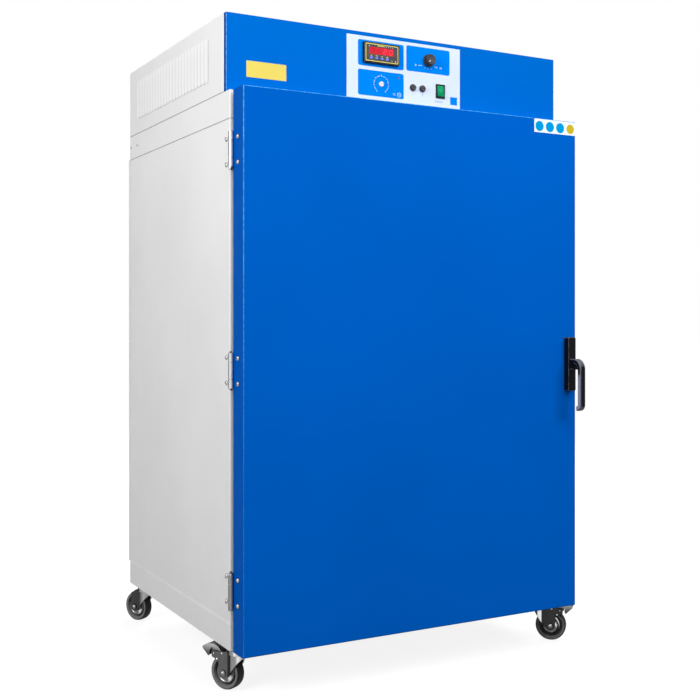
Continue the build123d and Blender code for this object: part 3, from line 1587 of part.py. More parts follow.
os.makedirs("parts", exist_ok=True)
finished = [
    base_pan.part,
    side_panel_left,
    side_panel_right,
    upper_band.part,
    rear_cover.part,
    control_box.part,
    control_fascia.part,
    panel_overlay.part,
    controller_case.part,
    controller_window.part,
    *controller_keys,
    alarm_spindle.part,
    speed_potentiometer.part,
    speed_knob.part,
    fuse_holders.part,
    rocker_bezel.part,
    rocker_button.part,
    power_relay.part,
    front_frame.part,
    inner_chamber.part,
    chamber_insulation.part,
    shelf_rails.part,
    wire_shelves,
    air_baffle.part,
    heating_elements,
    fan_motor.part,
    fan_impeller.part,
    temperature_probes.part,
    exhaust_flue.part,
    cable_gland.part,
    door_skin.part,
    door_liner.part,
    door_insulation.part,
    door_gasket.part,
    hinge_leaves_cabinet,
    hinge_leaves_door,
    hinge_pins.part,
    cabinet_screws,
    hinge_screws_door,
    handle_base.part,
    handle_lever.part,
    latch_spindle.part,
    caster_plates.part,
    *caster_parts,
]
for piece in finished:
    export_step(piece, f"parts/{piece.label}.step")
    print(piece.label, round(piece.volume, 1))
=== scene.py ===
import json
from math import cos, pi, radians, sin

import bmesh
import bpy
from mathutils import Matrix, Vector


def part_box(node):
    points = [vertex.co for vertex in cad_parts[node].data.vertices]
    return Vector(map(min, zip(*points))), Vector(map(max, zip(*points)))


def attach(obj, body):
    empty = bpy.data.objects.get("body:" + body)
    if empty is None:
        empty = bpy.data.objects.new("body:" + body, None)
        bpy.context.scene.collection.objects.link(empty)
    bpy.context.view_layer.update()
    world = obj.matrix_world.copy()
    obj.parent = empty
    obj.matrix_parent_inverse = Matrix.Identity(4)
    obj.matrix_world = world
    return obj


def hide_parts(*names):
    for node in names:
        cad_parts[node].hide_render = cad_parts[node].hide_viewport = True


# The looks of a tall laboratory oven: finishes for the CAD nodes, and detailed pieces on them.
# Sizes are in millimetres where a name says so, and otherwise in metres.
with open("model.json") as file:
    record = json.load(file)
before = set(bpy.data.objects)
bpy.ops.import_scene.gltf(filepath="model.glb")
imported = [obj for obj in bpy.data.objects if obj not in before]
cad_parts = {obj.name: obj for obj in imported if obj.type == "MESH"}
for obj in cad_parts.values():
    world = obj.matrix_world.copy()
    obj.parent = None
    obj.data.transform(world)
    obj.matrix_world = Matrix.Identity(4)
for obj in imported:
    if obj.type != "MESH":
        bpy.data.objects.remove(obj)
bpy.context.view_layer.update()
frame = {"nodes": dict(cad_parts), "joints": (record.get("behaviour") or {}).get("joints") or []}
nodes = frame["nodes"]
joints = {joint["name"]: joint for joint in frame["joints"]}
mm = 0.001


# Colours and procedural finishes
def srgb(red, green, blue):
    """Linear colour for screen values from 0 to 255."""
    channels = [value / 255 for value in (red, green, blue)]
    linear = [c / 12.92 if c <= 0.04045 else ((c + 0.055) / 1.055) ** 2.4 for c in channels]
    return (*linear, 1.0)


def shade(colour, factor):
    """The same colour, lighter or darker."""
    return (*[min(channel * factor, 1.0) for channel in colour[:3]], 1.0)


class Finish:
    """One procedural material, with short ways to add nodes to it."""

    def __init__(self, name, metallic=0.0, specular=0.5, tint=(1, 1, 1, 1), anisotropic=0.0):
        self.material = bpy.data.materials.new(name)
        self.material.use_nodes = True
        self.tree = self.material.node_tree
        self.shader = self.tree.nodes["Principled BSDF"]
        self.shader.inputs["Metallic"].default_value = metallic
        self.shader.inputs["Specular IOR Level"].default_value = specular
        self.shader.inputs["Specular Tint"].default_value = tint
        self.shader.inputs["Anisotropic"].default_value = anisotropic
        coordinates = self.tree.nodes.new("ShaderNodeTexCoord")
        self.place = coordinates.outputs["Object"]
        self.normal = coordinates.outputs["Normal"]

    def add(self, kind, inputs, output=0, **settings):
        """New node with its settings and inputs; returns one of its outputs."""
        node = self.tree.nodes.new(kind)
        for name, value in settings.items():
            setattr(node, name, value)
        for socket, value in inputs.items():
            if isinstance(value, bpy.types.NodeSocket):
                self.tree.links.new(value, node.inputs[socket])
            else:
                node.inputs[socket].default_value = value
        return node.outputs[output]

    def math(self, operation, first, second=0.0):
        """Number made from one or two numbers."""
        return self.add("ShaderNodeMath", {0: first, 1: second}, operation=operation)

    def vectors(self, operation, first, second=(0.0, 0.0, 0.0)):
        """Vector made from one or two vectors."""
        return self.add("ShaderNodeVectorMath", {0: first, 1: second}, operation=operation)

    def measure(self, operation, first, second=(0.0, 0.0, 0.0)):
        """Number made from one or two vectors, such as a length."""
        return self.add("ShaderNodeVectorMath", {0: first, 1: second}, output=1, operation=operation)

    def noise(self, scale, detail=3.0, vector=None):
        """Soft noise, over the object's place where no other vector is given."""
        inputs = {"Vector": vector or self.place, "Scale": scale, "Detail": detail}
        return self.add("ShaderNodeTexNoise", inputs)

    def between(self, value, low, high, start=0.35, end=0.65):
        """Value mapped to the range from low to high, and held inside it."""
        return self.add(
            "ShaderNodeMapRange",
            {"Value": value, "From Min": start, "From Max": end, "To Min": low, "To Max": high},
        )

    def mix(self, factor, first, second):
        """Colour mixed from two colours."""
        return self.add("ShaderNodeMix", {0: factor, 6: first, 7: second}, output=2, data_type="RGBA")

    def tinted(self, first, second):
        """Product of two colours."""
        return self.add(
            "ShaderNodeMix", {0: 1.0, 6: first, 7: second}, output=2, data_type="RGBA", blend_type="MULTIPLY"
        )

    def ramp(self, value, stops):
        """Colour that runs through (place, colour) stops as a value grows."""
        node = self.tree.nodes.new("ShaderNodeValToRGB")
        self.tree.links.new(value, node.inputs[0])
        points = node.color_ramp.elements
        while len(points) < len(stops):
            points.new(0.5)
        for point, (place, colour) in zip(points, stops):
            point.position = place
            point.color = colour
        return node.outputs[0]

    def part_of(self, vector, axis):
        """One part of a place or normal: 0 for x, 1 for y, 2 for z."""
        return self.add("ShaderNodeSeparateXYZ", {0: vector}, output=axis)

    def darken(self, amount, colour):
        """Mix the base colour towards another one."""
        self.base = self.mix(amount, self.base, colour)
        self.link("Base Color", self.base)

    def painted_seam_lines(self, heights, colour, reach):
        """Painted lines round the walls where one sheet ends and the next begins, fading out at a reach:
        painted shade in the gap where the colour is dark, a painted highlight where it is light.
        """
        z = self.part_of(self.place, 2)
        lines = 0.0
        for height in heights:
            off = self.math("ABSOLUTE", self.math("SUBTRACT", z, height))
            lines = self.math("MAXIMUM", lines, self.between(off, 1.0, 0.0, start=reach / 4, end=reach))
        level = self.math("ABSOLUTE", self.part_of(self.normal, 2))
        walls = self.between(level, 0.75, 0.0, start=0.3, end=0.6)
        # The given colour is painted along each seam on the walls, as shade or as a highlight
        self.darken(self.math("MULTIPLY", lines, walls), colour)

    def stretched(self, stretch):
        """Place in the object with each axis scaled, for grain that runs one way."""
        return self.add("ShaderNodeMapping", {"Vector": self.place, "Scale": stretch})

    def from_axis(self):
        """Place without its part along the local Z axis."""
        return self.vectors("MULTIPLY", self.place, (1.0, 1.0, 0.0))

    def radial(self):
        """Place by distance from the local Z axis, for marks left by a lathe."""
        return self.add("ShaderNodeCombineXYZ", {"X": self.measure("LENGTH", self.from_axis())})

    def edges(self):
        """1 on rounded edges between two flat faces along the axes, 0 on the faces."""
        size = self.vectors("ABSOLUTE", self.normal)
        parts = self.tree.nodes.new("ShaderNodeSeparateXYZ")
        self.tree.links.new(size, parts.inputs[0])
        x, y, z = parts.outputs
        pairs = self.math("ADD", self.math("MULTIPLY", x, y), self.math("MULTIPLY", y, z))
        pairs = self.math("ADD", pairs, self.math("MULTIPLY", x, z))
        return self.between(pairs, 0.0, 1.0, start=0.25, end=0.48)

    def toward(self, direction, start, end):
        """0 on faces turned away from a direction, 1 on faces that look that way."""
        turned = self.measure("DOT_PRODUCT", self.normal, direction)
        return self.between(turned, 0.0, 1.0, start=start, end=end)

    def link(self, socket, value):
        self.tree.links.new(value, self.shader.inputs[socket])

    def bump(self, height, depth):
        """Bump from a height; depth is in metres."""
        normal = self.add("ShaderNodeBump", {"Height": height, "Distance": depth, "Strength": 1.0})
        self.link("Normal", normal)

    def glow(self, colour, strength):
        self.shader.inputs["Emission Color"].default_value = colour
        self.shader.inputs["Emission Strength"].default_value = strength


def finish(name, colour, rough, spread=0.06, patch=7.0, grain=800.0, depth=0.02, **settings):
    """Plain finish: uneven colour and gloss in soft patches, and a fine grain."""
    made = Finish(name, **settings)
    patches = made.between(made.noise(patch), 0.0, 1.0)
    made.base = made.mix(patches, shade(colour, 1 - spread), shade(colour, 1 + spread))
    made.link("Base Color", made.base)
    made.link("Roughness", made.between(made.noise(patch * 9), rough[0], rough[1]))
    made.bump(made.noise(grain, detail=2.0), depth * mm)
    return made


def powder_coat(name, colour, edge_highlight_colour, rough, seams=(), left_shade_colour=None, highlight_fade=None, **settings):
    """Sprayed paint: orange peel, soft patches, and a painted highlight along the rounded edges, broken up
    in specks.
    Seams are (heights, colour, reach) groups of painted seam lines. Faces that look to the left get painted
    shade in their own colour where one is given. Edge fade gives two heights: the painted edge highlight is
    faint below the first and full above the second."""
    made = finish(name, colour, rough, spread=0.03, patch=2.5, grain=450.0, depth=0.03, **settings)
    for seam in seams:
        made.painted_seam_lines(*seam)
    # Painted shade on the faces that look to the left
    if left_shade_colour:
        made.darken(made.toward((-1, 0, 0), 0.6, 0.9), left_shade_colour)
    # Painted highlight along the rounded edges, broken up in specks, fainter low down where heights for the
    # fade are given
    speckle = made.between(made.noise(160.0), 0.35, 1.0, start=0.42, end=0.6)
    edge_highlight_mask = made.math("MULTIPLY", made.edges(), speckle)
    if highlight_fade:
        faint_below, full_above = highlight_fade
        height = made.part_of(made.place, 2)
        shown = made.between(height, 0.22, 1.0, start=faint_below, end=full_above)
        edge_highlight_mask = made.math("MULTIPLY", edge_highlight_mask, shown)
    made.link("Base Color", made.mix(edge_highlight_mask, made.base, edge_highlight_colour))
    return made.material


def brushed(name, colour, rough, stretch, spread=0.10):
    """Metal with fine lines along one axis."""
    made = Finish(name, metallic=1.0)
    lines = made.noise(900.0, detail=4.0, vector=made.stretched(stretch))
    patches = made.noise(5.0)
    tone = made.between(made.math("ADD", lines, made.math("MULTIPLY", patches, 0.5)), 0.0, 1.0, 0.5, 1.0)
    made.link("Base Color", made.mix(tone, shade(colour, 1 - spread), shade(colour, 1 + spread)))
    made.link("Roughness", made.between(lines, rough[0], rough[1]))
    made.bump(lines, 0.01 * mm)
    return made.material


# Tint of metals where light grazes them
dark_edge = (0.25, 0.25, 0.25, 1.0)


def turned(name, colour, rough, wedge=None):
    """Metal turned or spun on a lathe: rings about the local Z axis. Wedge gives the colour, the
    direction from the axis, and the inner and outer radius in millimetres of a sector with a painted
    highlight."""
    made = Finish(name, metallic=1.0, anisotropic=0.75, tint=dark_edge)
    around = made.add("ShaderNodeTangent", {}, direction_type="RADIAL", axis="Z")
    made.link("Tangent", around)
    rings = made.noise(1400.0, detail=2.0, vector=made.radial())
    smudges = made.noise(60.0)
    tone = made.between(made.math("MULTIPLY", rings, smudges), 0.0, 1.0, 0.1, 0.4)
    base = made.mix(tone, shade(colour, 0.85), shade(colour, 1.08))
    # Painted highlight in a sector of a ring round the axis
    if wedge:
        bright, direction, inner, outer = wedge
        radius = made.measure("LENGTH", made.from_axis())
        outward = made.vectors("NORMALIZE", made.from_axis())
        side = made.measure("DOT_PRODUCT", outward, direction)
        sector = made.between(side, 0.0, 1.0, start=0.55, end=0.9)
        past_inner = made.between(radius, 0.0, 1.0, start=(inner - 1) * mm, end=(inner + 1) * mm)
        before_outer = made.between(radius, 1.0, 0.0, start=(outer - 1) * mm, end=(outer + 1) * mm)
        ring = made.math("MULTIPLY", past_inner, before_outer)
        base = made.mix(made.math("MULTIPLY", sector, ring), base, bright)
    made.link("Base Color", base)
    made.link("Roughness", made.between(smudges, rough[0], rough[1]))
    made.bump(rings, 0.01 * mm)
    return made.material


def plated(name, colour, rough, cell=90.0, marks=None):
    """Zinc-coated steel: crystals of slightly different grey, and dull patches. Marks, for painted
    reflections and painted light, give a point, a direction and a reach in millimetres, and the stops of the
    colour along that stretch."""
    made = Finish(name, metallic=1.0, tint=dark_edge)
    cells = made.add("ShaderNodeTexVoronoi", {"Vector": made.place, "Scale": cell}, output=1)
    value = made.add("ShaderNodeSeparateColor", {0: cells})
    dull = made.noise(25.0)
    tone = made.math("ADD", made.math("MULTIPLY", value, 0.5), made.math("MULTIPLY", dull, 0.5))
    base = made.mix(tone, shade(colour, 0.82), shade(colour, 1.12))
    # Painted reflection bands and painted light, laid over the zinc along the marks
    if marks:
        point, direction, reach, stops = marks
        along = made.measure("DOT_PRODUCT", made.vectors("SUBTRACT", made.place, point), direction)
        share = made.between(along, 0.0, 1.0, start=0.0, end=reach * mm)
        base = made.tinted(base, made.ramp(share, stops))
    made.link("Base Color", base)
    made.link("Roughness", made.between(dull, rough[0], rough[1]))
    made.bump(made.noise(500.0), 0.01 * mm)
    return made.material


# Colours that several paints share, and the seams between the sheets, with painted shade along the seams
# under the control box and the upper band, a painted highlight along the plinth seam, and how far each
# painted line fades out
paint_grey = srgb(228, 228, 228)
paint_rough = (0.42, 0.55)
moulding_black = srgb(15, 15, 19)
moulding_highlight = srgb(104, 104, 112)
moulding_rough = (0.3, 0.42)
seam_shade = srgb(92, 92, 94)
seam_highlight = srgb(252, 252, 252)
shaded_seam_heights = [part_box("control_box")[0].z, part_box("upper_band")[0].z]
plinth_highlight_seam = [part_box("side_panel_left")[0].z]
seam_shade_reach = 1.7 * mm
seam_highlight_reach = 4.0 * mm
wall_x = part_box("side_panel_right")[1].x


def louvre_shaded_paint():
    """Paint of the control box, with painted shade where each louvre hood rises from the wall and painted
    shade along its seams.
    """
    made = finish("box_paint", paint_grey, paint_rough, spread=0.02, patch=2.5, specular=0.2)
    made.painted_seam_lines(shaded_seam_heights, seam_shade, seam_shade_reach)
    side_x = made.math("ABSOLUTE", made.part_of(made.place, 0))
    hood_foot_shade = made.between(side_x, 0.34, 0.0, start=wall_x + 0.3 * mm, end=wall_x + 2.6 * mm)
    level = made.math("ABSOLUTE", made.part_of(made.normal, 2))
    long_face = made.between(level, 1.0, 0.0, start=0.2, end=0.5)
    past_wall = made.math("GREATER_THAN", side_x, wall_x + 0.1 * mm)
    on_hood = made.math("MULTIPLY", past_wall, long_face)
    # Painted shade at the foot of each louvre hood
    made.darken(made.math("MULTIPLY", hood_foot_shade, on_hood), srgb(70, 70, 72))
    return made.material


def lever_highlighted_paint():
    """Black moulding of the lever, with a painted highlight on the inner face of its grip and painted
    highlights along its edges.
    """
    look = {"spread": 0.03, "patch": 2.5, "grain": 450.0, "specular": 0.07}
    made = finish("lever_black", moulding_black, moulding_rough, **look)
    pivot_z = joints["handle_turn"]["pos_m"][2]
    height = made.part_of(made.place, 2)
    on_grip = made.between(height, 1.0, 0.0, start=pivot_z - 34 * mm, end=pivot_z - 22 * mm)
    grip_highlight_side = made.toward((-1, 0, 0), 0.5, 0.9)
    # Painted highlight on the inner face of the grip
    made.darken(made.math("MULTIPLY", on_grip, grip_highlight_side), srgb(150, 152, 170))
    made.link("Base Color", made.mix(made.edges(), made.base, moulding_highlight))
    return made.material


blue_gloss = {"specular": 0.006, "tint": srgb(0, 150, 255)}
# Painted shade along the seams under the control box and the band, and a painted highlight along the plinth
# seam
panel_seam_shading = [(shaded_seam_heights, seam_shade, seam_shade_reach), (plinth_highlight_seam, seam_highlight, seam_highlight_reach)]
# Painted highlights along the edges of these paints; the blue ones also get painted shade on their left
# faces
grey_paint = powder_coat("grey_paint", paint_grey, srgb(234, 234, 234), paint_rough,
                         seams=panel_seam_shading, specular=0.2)
door_blue = powder_coat("door_blue", srgb(0, 98, 203), srgb(90, 180, 236), (0.38, 0.5),
                        left_shade_colour=srgb(0, 84, 178), highlight_fade=(0.5, 1.3), **blue_gloss)
fascia_blue = powder_coat("fascia_blue", srgb(0, 108, 208), srgb(150, 205, 235), (0.38, 0.5),
                          left_shade_colour=srgb(0, 70, 140), **blue_gloss)
film_look = {"spread": 0.015, "depth": 0.005, "specular": 0.15}
white_film = finish("white_film", srgb(218, 231, 246), (0.35, 0.45), **film_look).material
box_paint = louvre_shaded_paint()
azure_print = finish("azure_print", srgb(0, 136, 250), (0.35, 0.45), spread=0.03, **blue_gloss).material
white_print = finish("white_print", srgb(240, 246, 252), (0.4, 0.5), spread=0.02).material
blue_print = finish("blue_print", srgb(40, 100, 200), (0.4, 0.5), spread=0.05).material
yellow_label = finish("yellow_label", srgb(238, 216, 96), (0.35, 0.5), spread=0.04, specular=0.1).material
cyan_print = finish("cyan_print", srgb(0, 160, 228), (0.35, 0.45), spread=0.03, **blue_gloss).material
amber_print = finish("amber_print", srgb(206, 184, 36), (0.35, 0.45), spread=0.04, specular=0.05).material
# Painted highlights along the edges of the black mouldings
black_moulded = powder_coat("black_moulded", moulding_black, moulding_highlight, moulding_rough, specular=0.07)
lever_black = lever_highlighted_paint()
matt_look = {"spread": 0.2, "grain": 1800.0, "specular": 0.3}
black_matt = finish("black_matt", srgb(56, 52, 56), (0.45, 0.6), **matt_look).material
face_look = {"spread": 0.08, "grain": 1800.0, "specular": 0.2}
case_face = finish("case_face", srgb(62, 58, 60), (0.4, 0.55), **face_look).material
gold_line = finish("gold_line", srgb(222, 204, 72), (0.35, 0.45), spread=0.08).material
key_blue = finish("key_blue", srgb(50, 92, 225), (0.3, 0.42), spread=0.08).material
white_moulded = finish("white_moulded", srgb(240, 236, 236), (0.35, 0.5), spread=0.04).material
lamp_off = finish("lamp_off", srgb(96, 60, 62), (0.15, 0.25), spread=0.15).material
rubber_look = {"patch": 60.0, "depth": 0.05, "specular": 0.2}
rubber = finish("rubber", srgb(36, 36, 38), (0.6, 0.75), spread=0.25, **rubber_look).material
side_rubber = finish("side_rubber", srgb(120, 120, 120), (0.5, 0.65), spread=0.12, **rubber_look).material
# Near black, for painted shade in recesses
recess_shade = finish("recess_shade", srgb(18, 18, 18), (0.6, 0.8), spread=0.3).material
silicone = finish("silicone", srgb(244, 240, 232), (0.5, 0.65), spread=0.06, depth=0.04).material
wool = finish("wool", srgb(196, 186, 150), (0.85, 0.95), spread=0.25, patch=70.0, grain=300.0, depth=0.8)
heater_sheath = finish("heater_sheath", srgb(84, 76, 70), (0.45, 0.6), spread=0.25, metallic=0.8).material
motor_paint = finish("motor_paint", srgb(58, 62, 66), (0.45, 0.6), spread=0.12, depth=0.06).material
zinc = plated("zinc", srgb(110, 111, 113), (0.24, 0.38))
galvanised = plated("galvanised", srgb(190, 193, 196), (0.35, 0.5), cell=45.0)
stainless = brushed("stainless", srgb(196, 196, 194), (0.25, 0.38), (1.0, 1.0, 0.02))
aluminium = brushed("aluminium", srgb(198, 199, 201), (0.3, 0.42), (0.05, 1.0, 1.0))
hinge_steel = brushed("hinge_steel", srgb(160, 160, 160), (0.2, 0.3), (1.0, 1.0, 0.05), spread=0.08)


def barrel_metal(name, colour):
    """Bright drawn steel of a hinge barrel, with painted shade towards its two sides."""
    made = finish(name, colour, (0.28, 0.4), spread=0.04, metallic=0.4)
    # Painted shade: dark on the side that looks left and back, grey on the side that looks right and front
    made.darken(made.toward((-0.92, 0.38, 0), 0.45, 0.85), srgb(70, 70, 72))
    made.darken(made.toward((0.92, -0.38, 0), 0.7, 1.0), srgb(150, 150, 152))
    return made.material


# Lit and shaded copies of one barrel steel, as painted light: darkest at the lowest hinge, lightest at the
# highest
lit_barrel_copies = [
    barrel_metal("barrel_low", srgb(140, 140, 142)),
    barrel_metal("barrel_middle", srgb(214, 214, 214)),
    barrel_metal("barrel_high", srgb(226, 226, 226)),
]
bright_steel = brushed("bright_steel", srgb(222, 222, 220), (0.12, 0.24), (1.0, 1.0, 0.05), spread=0.05)
# Painted highlights: a bright sector on each wheel disc, turned another way on the front right wheel, and a
# bright upper part on the axle bolts
wheel_grey = srgb(100, 101, 102)
wheel_highlight = srgb(236, 236, 235)
highlight_wedge_left = (wheel_highlight, (-0.4, -0.92, 0.0), 14, 23)
highlight_wedge_right = (wheel_highlight, (0.5, 0.87, 0.0), 10, 24)
wheel_metal_left = turned("wheel_metal_left", wheel_grey, (0.2, 0.32), wedge=highlight_wedge_left)
wheel_metal_right = turned("wheel_metal_right", wheel_grey, (0.2, 0.32), wedge=highlight_wedge_right)
bolt_highlight_wedge = (srgb(252, 252, 252), (1.0, 0.0, 0.0), 0, 3.6)
bolt_metal = turned("bolt_metal", srgb(120, 120, 120), (0.1, 0.2), wedge=bolt_highlight_wedge)


# Lit plastics
def lit(name, colour, glow_colour, strength, rough, **settings):
    """Plastic with a lamp behind it."""
    made = finish(name, colour, rough, spread=0.06, patch=40.0, **settings)
    made.glow(glow_colour, strength)
    return made


red_gloss = {"specular": 0.5, "tint": srgb(255, 60, 80)}
window_red = lit("window_red", srgb(120, 0, 14), srgb(180, 0, 22), 0.6, (0.12, 0.2), **red_gloss).material
digit_lit = lit("digit_lit", srgb(220, 50, 70), srgb(255, 60, 80), 0.7, (0.3, 0.4), **red_gloss).material
digit_dim = lit("digit_dim", srgb(90, 0, 12), srgb(150, 0, 20), 0.5, (0.3, 0.4), **red_gloss).material
green_gloss = {"specular": 0.2, "tint": srgb(60, 255, 170)}
switch_green = lit("switch_green", srgb(0, 132, 86), srgb(0, 235, 145), 0.3, (0.15, 0.25), **green_gloss)
rocker_low, rocker_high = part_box("rocker_button")
lamp_offset = switch_green.measure("DISTANCE", switch_green.place, (rocker_low + rocker_high) / 2)
lamp_strength = switch_green.between(lamp_offset, 0.5, 0.03, start=1.5 * mm, end=9 * mm)
switch_green.link("Emission Strength", lamp_strength)

node_finish = {
    "base_pan": grey_paint,
    "side_panel_left": grey_paint,
    "side_panel_right": grey_paint,
    "upper_band": grey_paint,
    "rear_cover": grey_paint,
    "control_box": box_paint,
    "control_fascia": fascia_blue,
    "panel_overlay": white_film,
    "controller_case": black_moulded,
    "controller_window": window_red,
    "alarm_spindle": white_moulded,
    "speed_potentiometer": galvanised,
    "fuse_holders": black_matt,
    "rocker_bezel": black_moulded,
    "rocker_button": switch_green.material,
    "power_relay": aluminium,
    "front_frame": stainless,
    "inner_chamber": stainless,
    "chamber_insulation": wool.material,
    "shelf_rails": stainless,
    "wire_shelves": bright_steel,
    "air_baffle": stainless,
    "heating_elements": heater_sheath,
    "fan_motor": motor_paint,
    "fan_impeller": galvanised,
    "temperature_probes": bright_steel,
    "exhaust_flue": stainless,
    "cable_gland": black_moulded,
    "door_skin": door_blue,
    "door_liner": stainless,
    "door_insulation": wool.material,
    "door_gasket": silicone,
    "hinge_leaves_cabinet": hinge_steel,
    "hinge_leaves_door": hinge_steel,
    "hinge_pins": zinc,
    "cabinet_screws": hinge_steel,
    "hinge_screws_door": hinge_steel,
    "handle_base": black_moulded,
    "handle_lever": lever_black,
    "latch_spindle": zinc,
    "caster_plates": zinc,
}
for number in range(1, 5):
    node_finish[f"controller_key_{number}"] = key_blue

# Painted reflections: the forks have brighter and darker bands round their fronts, one set for each front
# fork and one for the rear forks, and the pedals have painted light, brighter on top
corner_names = ("front_left", "front_right", "rear_left", "rear_right")


def grey_stops(*pairs):
    """Ramp stops from (place, grey) pairs."""
    return [(place, srgb(grey, grey, grey)) for place, grey in pairs]


def caster_line(corner):
    """Point that a caster swivels about, and the level direction from it to the axle."""
    pivot = Vector(joints[f"swivel_{corner}"]["pos_m"])
    behind = Vector(joints[f"axle_{corner}"]["pos_m"]) - pivot
    behind.z = 0
    return pivot, behind.normalized()


pale_zinc = (0.95, 0.95, 0.95, 1)
fork_front = 15.0
fork_reach = 50.0
pedal_reach = 26.0
reflection_bands_left = grey_stops(
    (0.0, 170), (0.1, 200), (0.2, 245), (0.3, 150), (0.52, 135), (0.58, 40), (0.7, 46), (0.76, 96)
)
reflection_bands_right = grey_stops((0.0, 50), (0.28, 56), (0.33, 250), (0.5, 246), (0.54, 48), (1.0, 54))
reflection_bands_rear = grey_stops((0.0, 150), (0.3, 165), (0.45, 120), (0.6, 60), (1.0, 66))
fork_reflection_bands = {
    "front_left": reflection_bands_left,
    "front_right": reflection_bands_right,
    "rear_left": reflection_bands_rear,
    "rear_right": reflection_bands_rear,
}
pedal_light_bands = grey_stops((0.0, 70), (0.35, 96), (0.75, 150), (1.0, 176))
for corner in corner_names:
    pivot, behind = caster_line(corner)
    fork_reflection_marks = (pivot - behind * fork_front * mm, behind, fork_reach, fork_reflection_bands[corner])
    fork_zinc = plated(f"fork_zinc_{corner}", pale_zinc, (0.26, 0.4), marks=fork_reflection_marks)
    node_finish[f"caster_fork_{corner}"] = fork_zinc
for side in ("left", "right"):
    pedal_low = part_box(f"brake_pedal_front_{side}")[0]
    pedal_light_marks = (pedal_low, (0, 0, 1), pedal_reach, pedal_light_bands)
    pedal_zinc = plated(f"pedal_zinc_{side}", pale_zinc, (0.3, 0.42), marks=pedal_light_marks)
    node_finish[f"brake_pedal_front_{side}"] = pedal_zinc
for name, material in node_finish.items():
    for material_slot in nodes[name].material_slots:
        material_slot.material = material


# Making pieces
def make_piece(name, mesh, material, body, placed=Matrix.Identity(4)):
    """Object from a mesh, placed by a matrix and riding on a body."""
    piece = bpy.data.objects.new(name, mesh)
    bpy.context.scene.collection.objects.link(piece)
    piece.matrix_world = placed
    piece.data.materials.append(material)
    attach(piece, body)
    return piece


def mesh_of(data, matrix):
    """Mesh of a curve or text, moved by a matrix."""
    holder = bpy.data.objects.new("holder", data)
    bpy.context.scene.collection.objects.link(holder)
    graph = bpy.context.evaluated_depsgraph_get()
    mesh = bpy.data.meshes.new_from_object(holder.evaluated_get(graph))
    bpy.data.objects.remove(holder)
    mesh.transform(matrix)
    return mesh


def facing_front(x, y, z):
    """Matrix that stands flat work up at a point in millimetres, facing the front."""
    return Matrix.Translation((x * mm, y * mm, z * mm)) @ Matrix.Rotation(pi / 2, 4, "X")


def plate(name, outlines, back_y, thickness, material, body, center=(0, 0), bevel=0.0):
    """Thin plate that faces the front. Outlines are rings of (x, z) points in millimetres; one
    ring inside another is a hole."""
    curve = bpy.data.curves.new(name, "CURVE")
    curve.dimensions = "2D"
    curve.fill_mode = "BOTH"
    curve.extrude = (thickness / 2 - bevel) * mm
    curve.bevel_depth = bevel * mm
    curve.bevel_resolution = 2
    curve.offset = -bevel * mm
    for outline in outlines:
        spline = curve.splines.new("POLY")
        spline.points.add(len(outline) - 1)
        for vertex, (x, z) in zip(spline.points, outline):
            vertex.co = (x * mm, z * mm, 0, 1)
        spline.use_cyclic_u = True
    mesh = mesh_of(curve, facing_front(center[0], back_y - thickness / 2, center[1]))
    return make_piece(name, mesh, material, body)


def arc(center, radius, start, end, steps):
    """Points on an arc, with angles in degrees from the right."""
    angles = [radians(start + (end - start) * i / steps) for i in range(steps + 1)]
    return [(center[0] + radius * cos(a), center[1] + radius * sin(a)) for a in angles]


def point_at(center, radius, angle):
    """Point at an angle round a centre."""
    return arc(center, radius, angle, angle, 1)[0]


def disc(center, radius, steps=40):
    """Full circle."""
    return arc(center, radius, 0, 360, steps)[:-1]


def rounded(center, width, height, radius, steps=6):
    """Rectangle with round corners."""
    x, z = center
    reach_x = width / 2 - radius
    reach_z = height / 2 - radius
    corners = ((1, 1, 0), (-1, 1, 90), (-1, -1, 180), (1, -1, 270))
    points = []
    for side_x, side_z, start in corners:
        points += arc((x + side_x * reach_x, z + side_z * reach_z), radius, start, start + 90, steps)
    return points


def band(center, radius, width, start, end, steps=12):
    """Part of a ring."""
    outer = arc(center, radius + width / 2, start, end, steps)
    inner = arc(center, radius - width / 2, end, start, steps)
    return outer + inner


def bar(start, end, width):
    """Straight stroke between two points."""
    along = (Vector(end) - Vector(start)).normalized()
    side = Vector((-along.y, along.x)) * width / 2
    first, last = Vector(start), Vector(end)
    return [tuple(p) for p in (first + side, last + side, last - side, first - side)]


def panel_print(name, outlines, back_y, material, thickness=0.04):
    """Thin print on the control panel."""
    plate(name, outlines, back_y, thickness, material, "cabinet")


def words(name, text, height, back_y, center, material):
    """Plain lettering on the control panel, centred on a point (x, z)."""
    font = bpy.data.curves.new(name, "FONT")
    font.body = text
    font.size = height * 1.4 * mm
    font.align_x = "CENTER"
    font.align_y = "CENTER"
    font.extrude = 0.03 * mm
    mesh = mesh_of(font, facing_front(center[0], back_y - 0.03, center[1]))
    make_piece(name, mesh, material, "cabinet")


def mesh_from(name, work):
    """Mesh of what was built in a bmesh, which is freed."""
    mesh = bpy.data.meshes.new(name)
    work.to_mesh(mesh)
    work.free()
    return mesh


def lathe_mesh(name, profile, steps):
    """Mesh turned about the local Z axis from (radius, z) points in millimetres."""
    work = bmesh.new()
    rings = []
    for radius, z in profile:
        if radius == 0:
            rings.append([work.verts.new((0, 0, z * mm))])
            continue
        angles = [2 * pi * i / steps for i in range(steps)]
        ring = [work.verts.new((radius * cos(a) * mm, radius * sin(a) * mm, z * mm)) for a in angles]
        rings.append(ring)
    for low, high in zip(rings, rings[1:]):
        for i in range(steps):
            j = (i + 1) % steps
            corners = [low[i % len(low)], low[j % len(low)], high[j % len(high)], high[i % len(high)]]
            work.faces.new(list(dict.fromkeys(corners)))
    bmesh.ops.recalc_face_normals(work, faces=work.faces)
    return mesh_from(name, work)


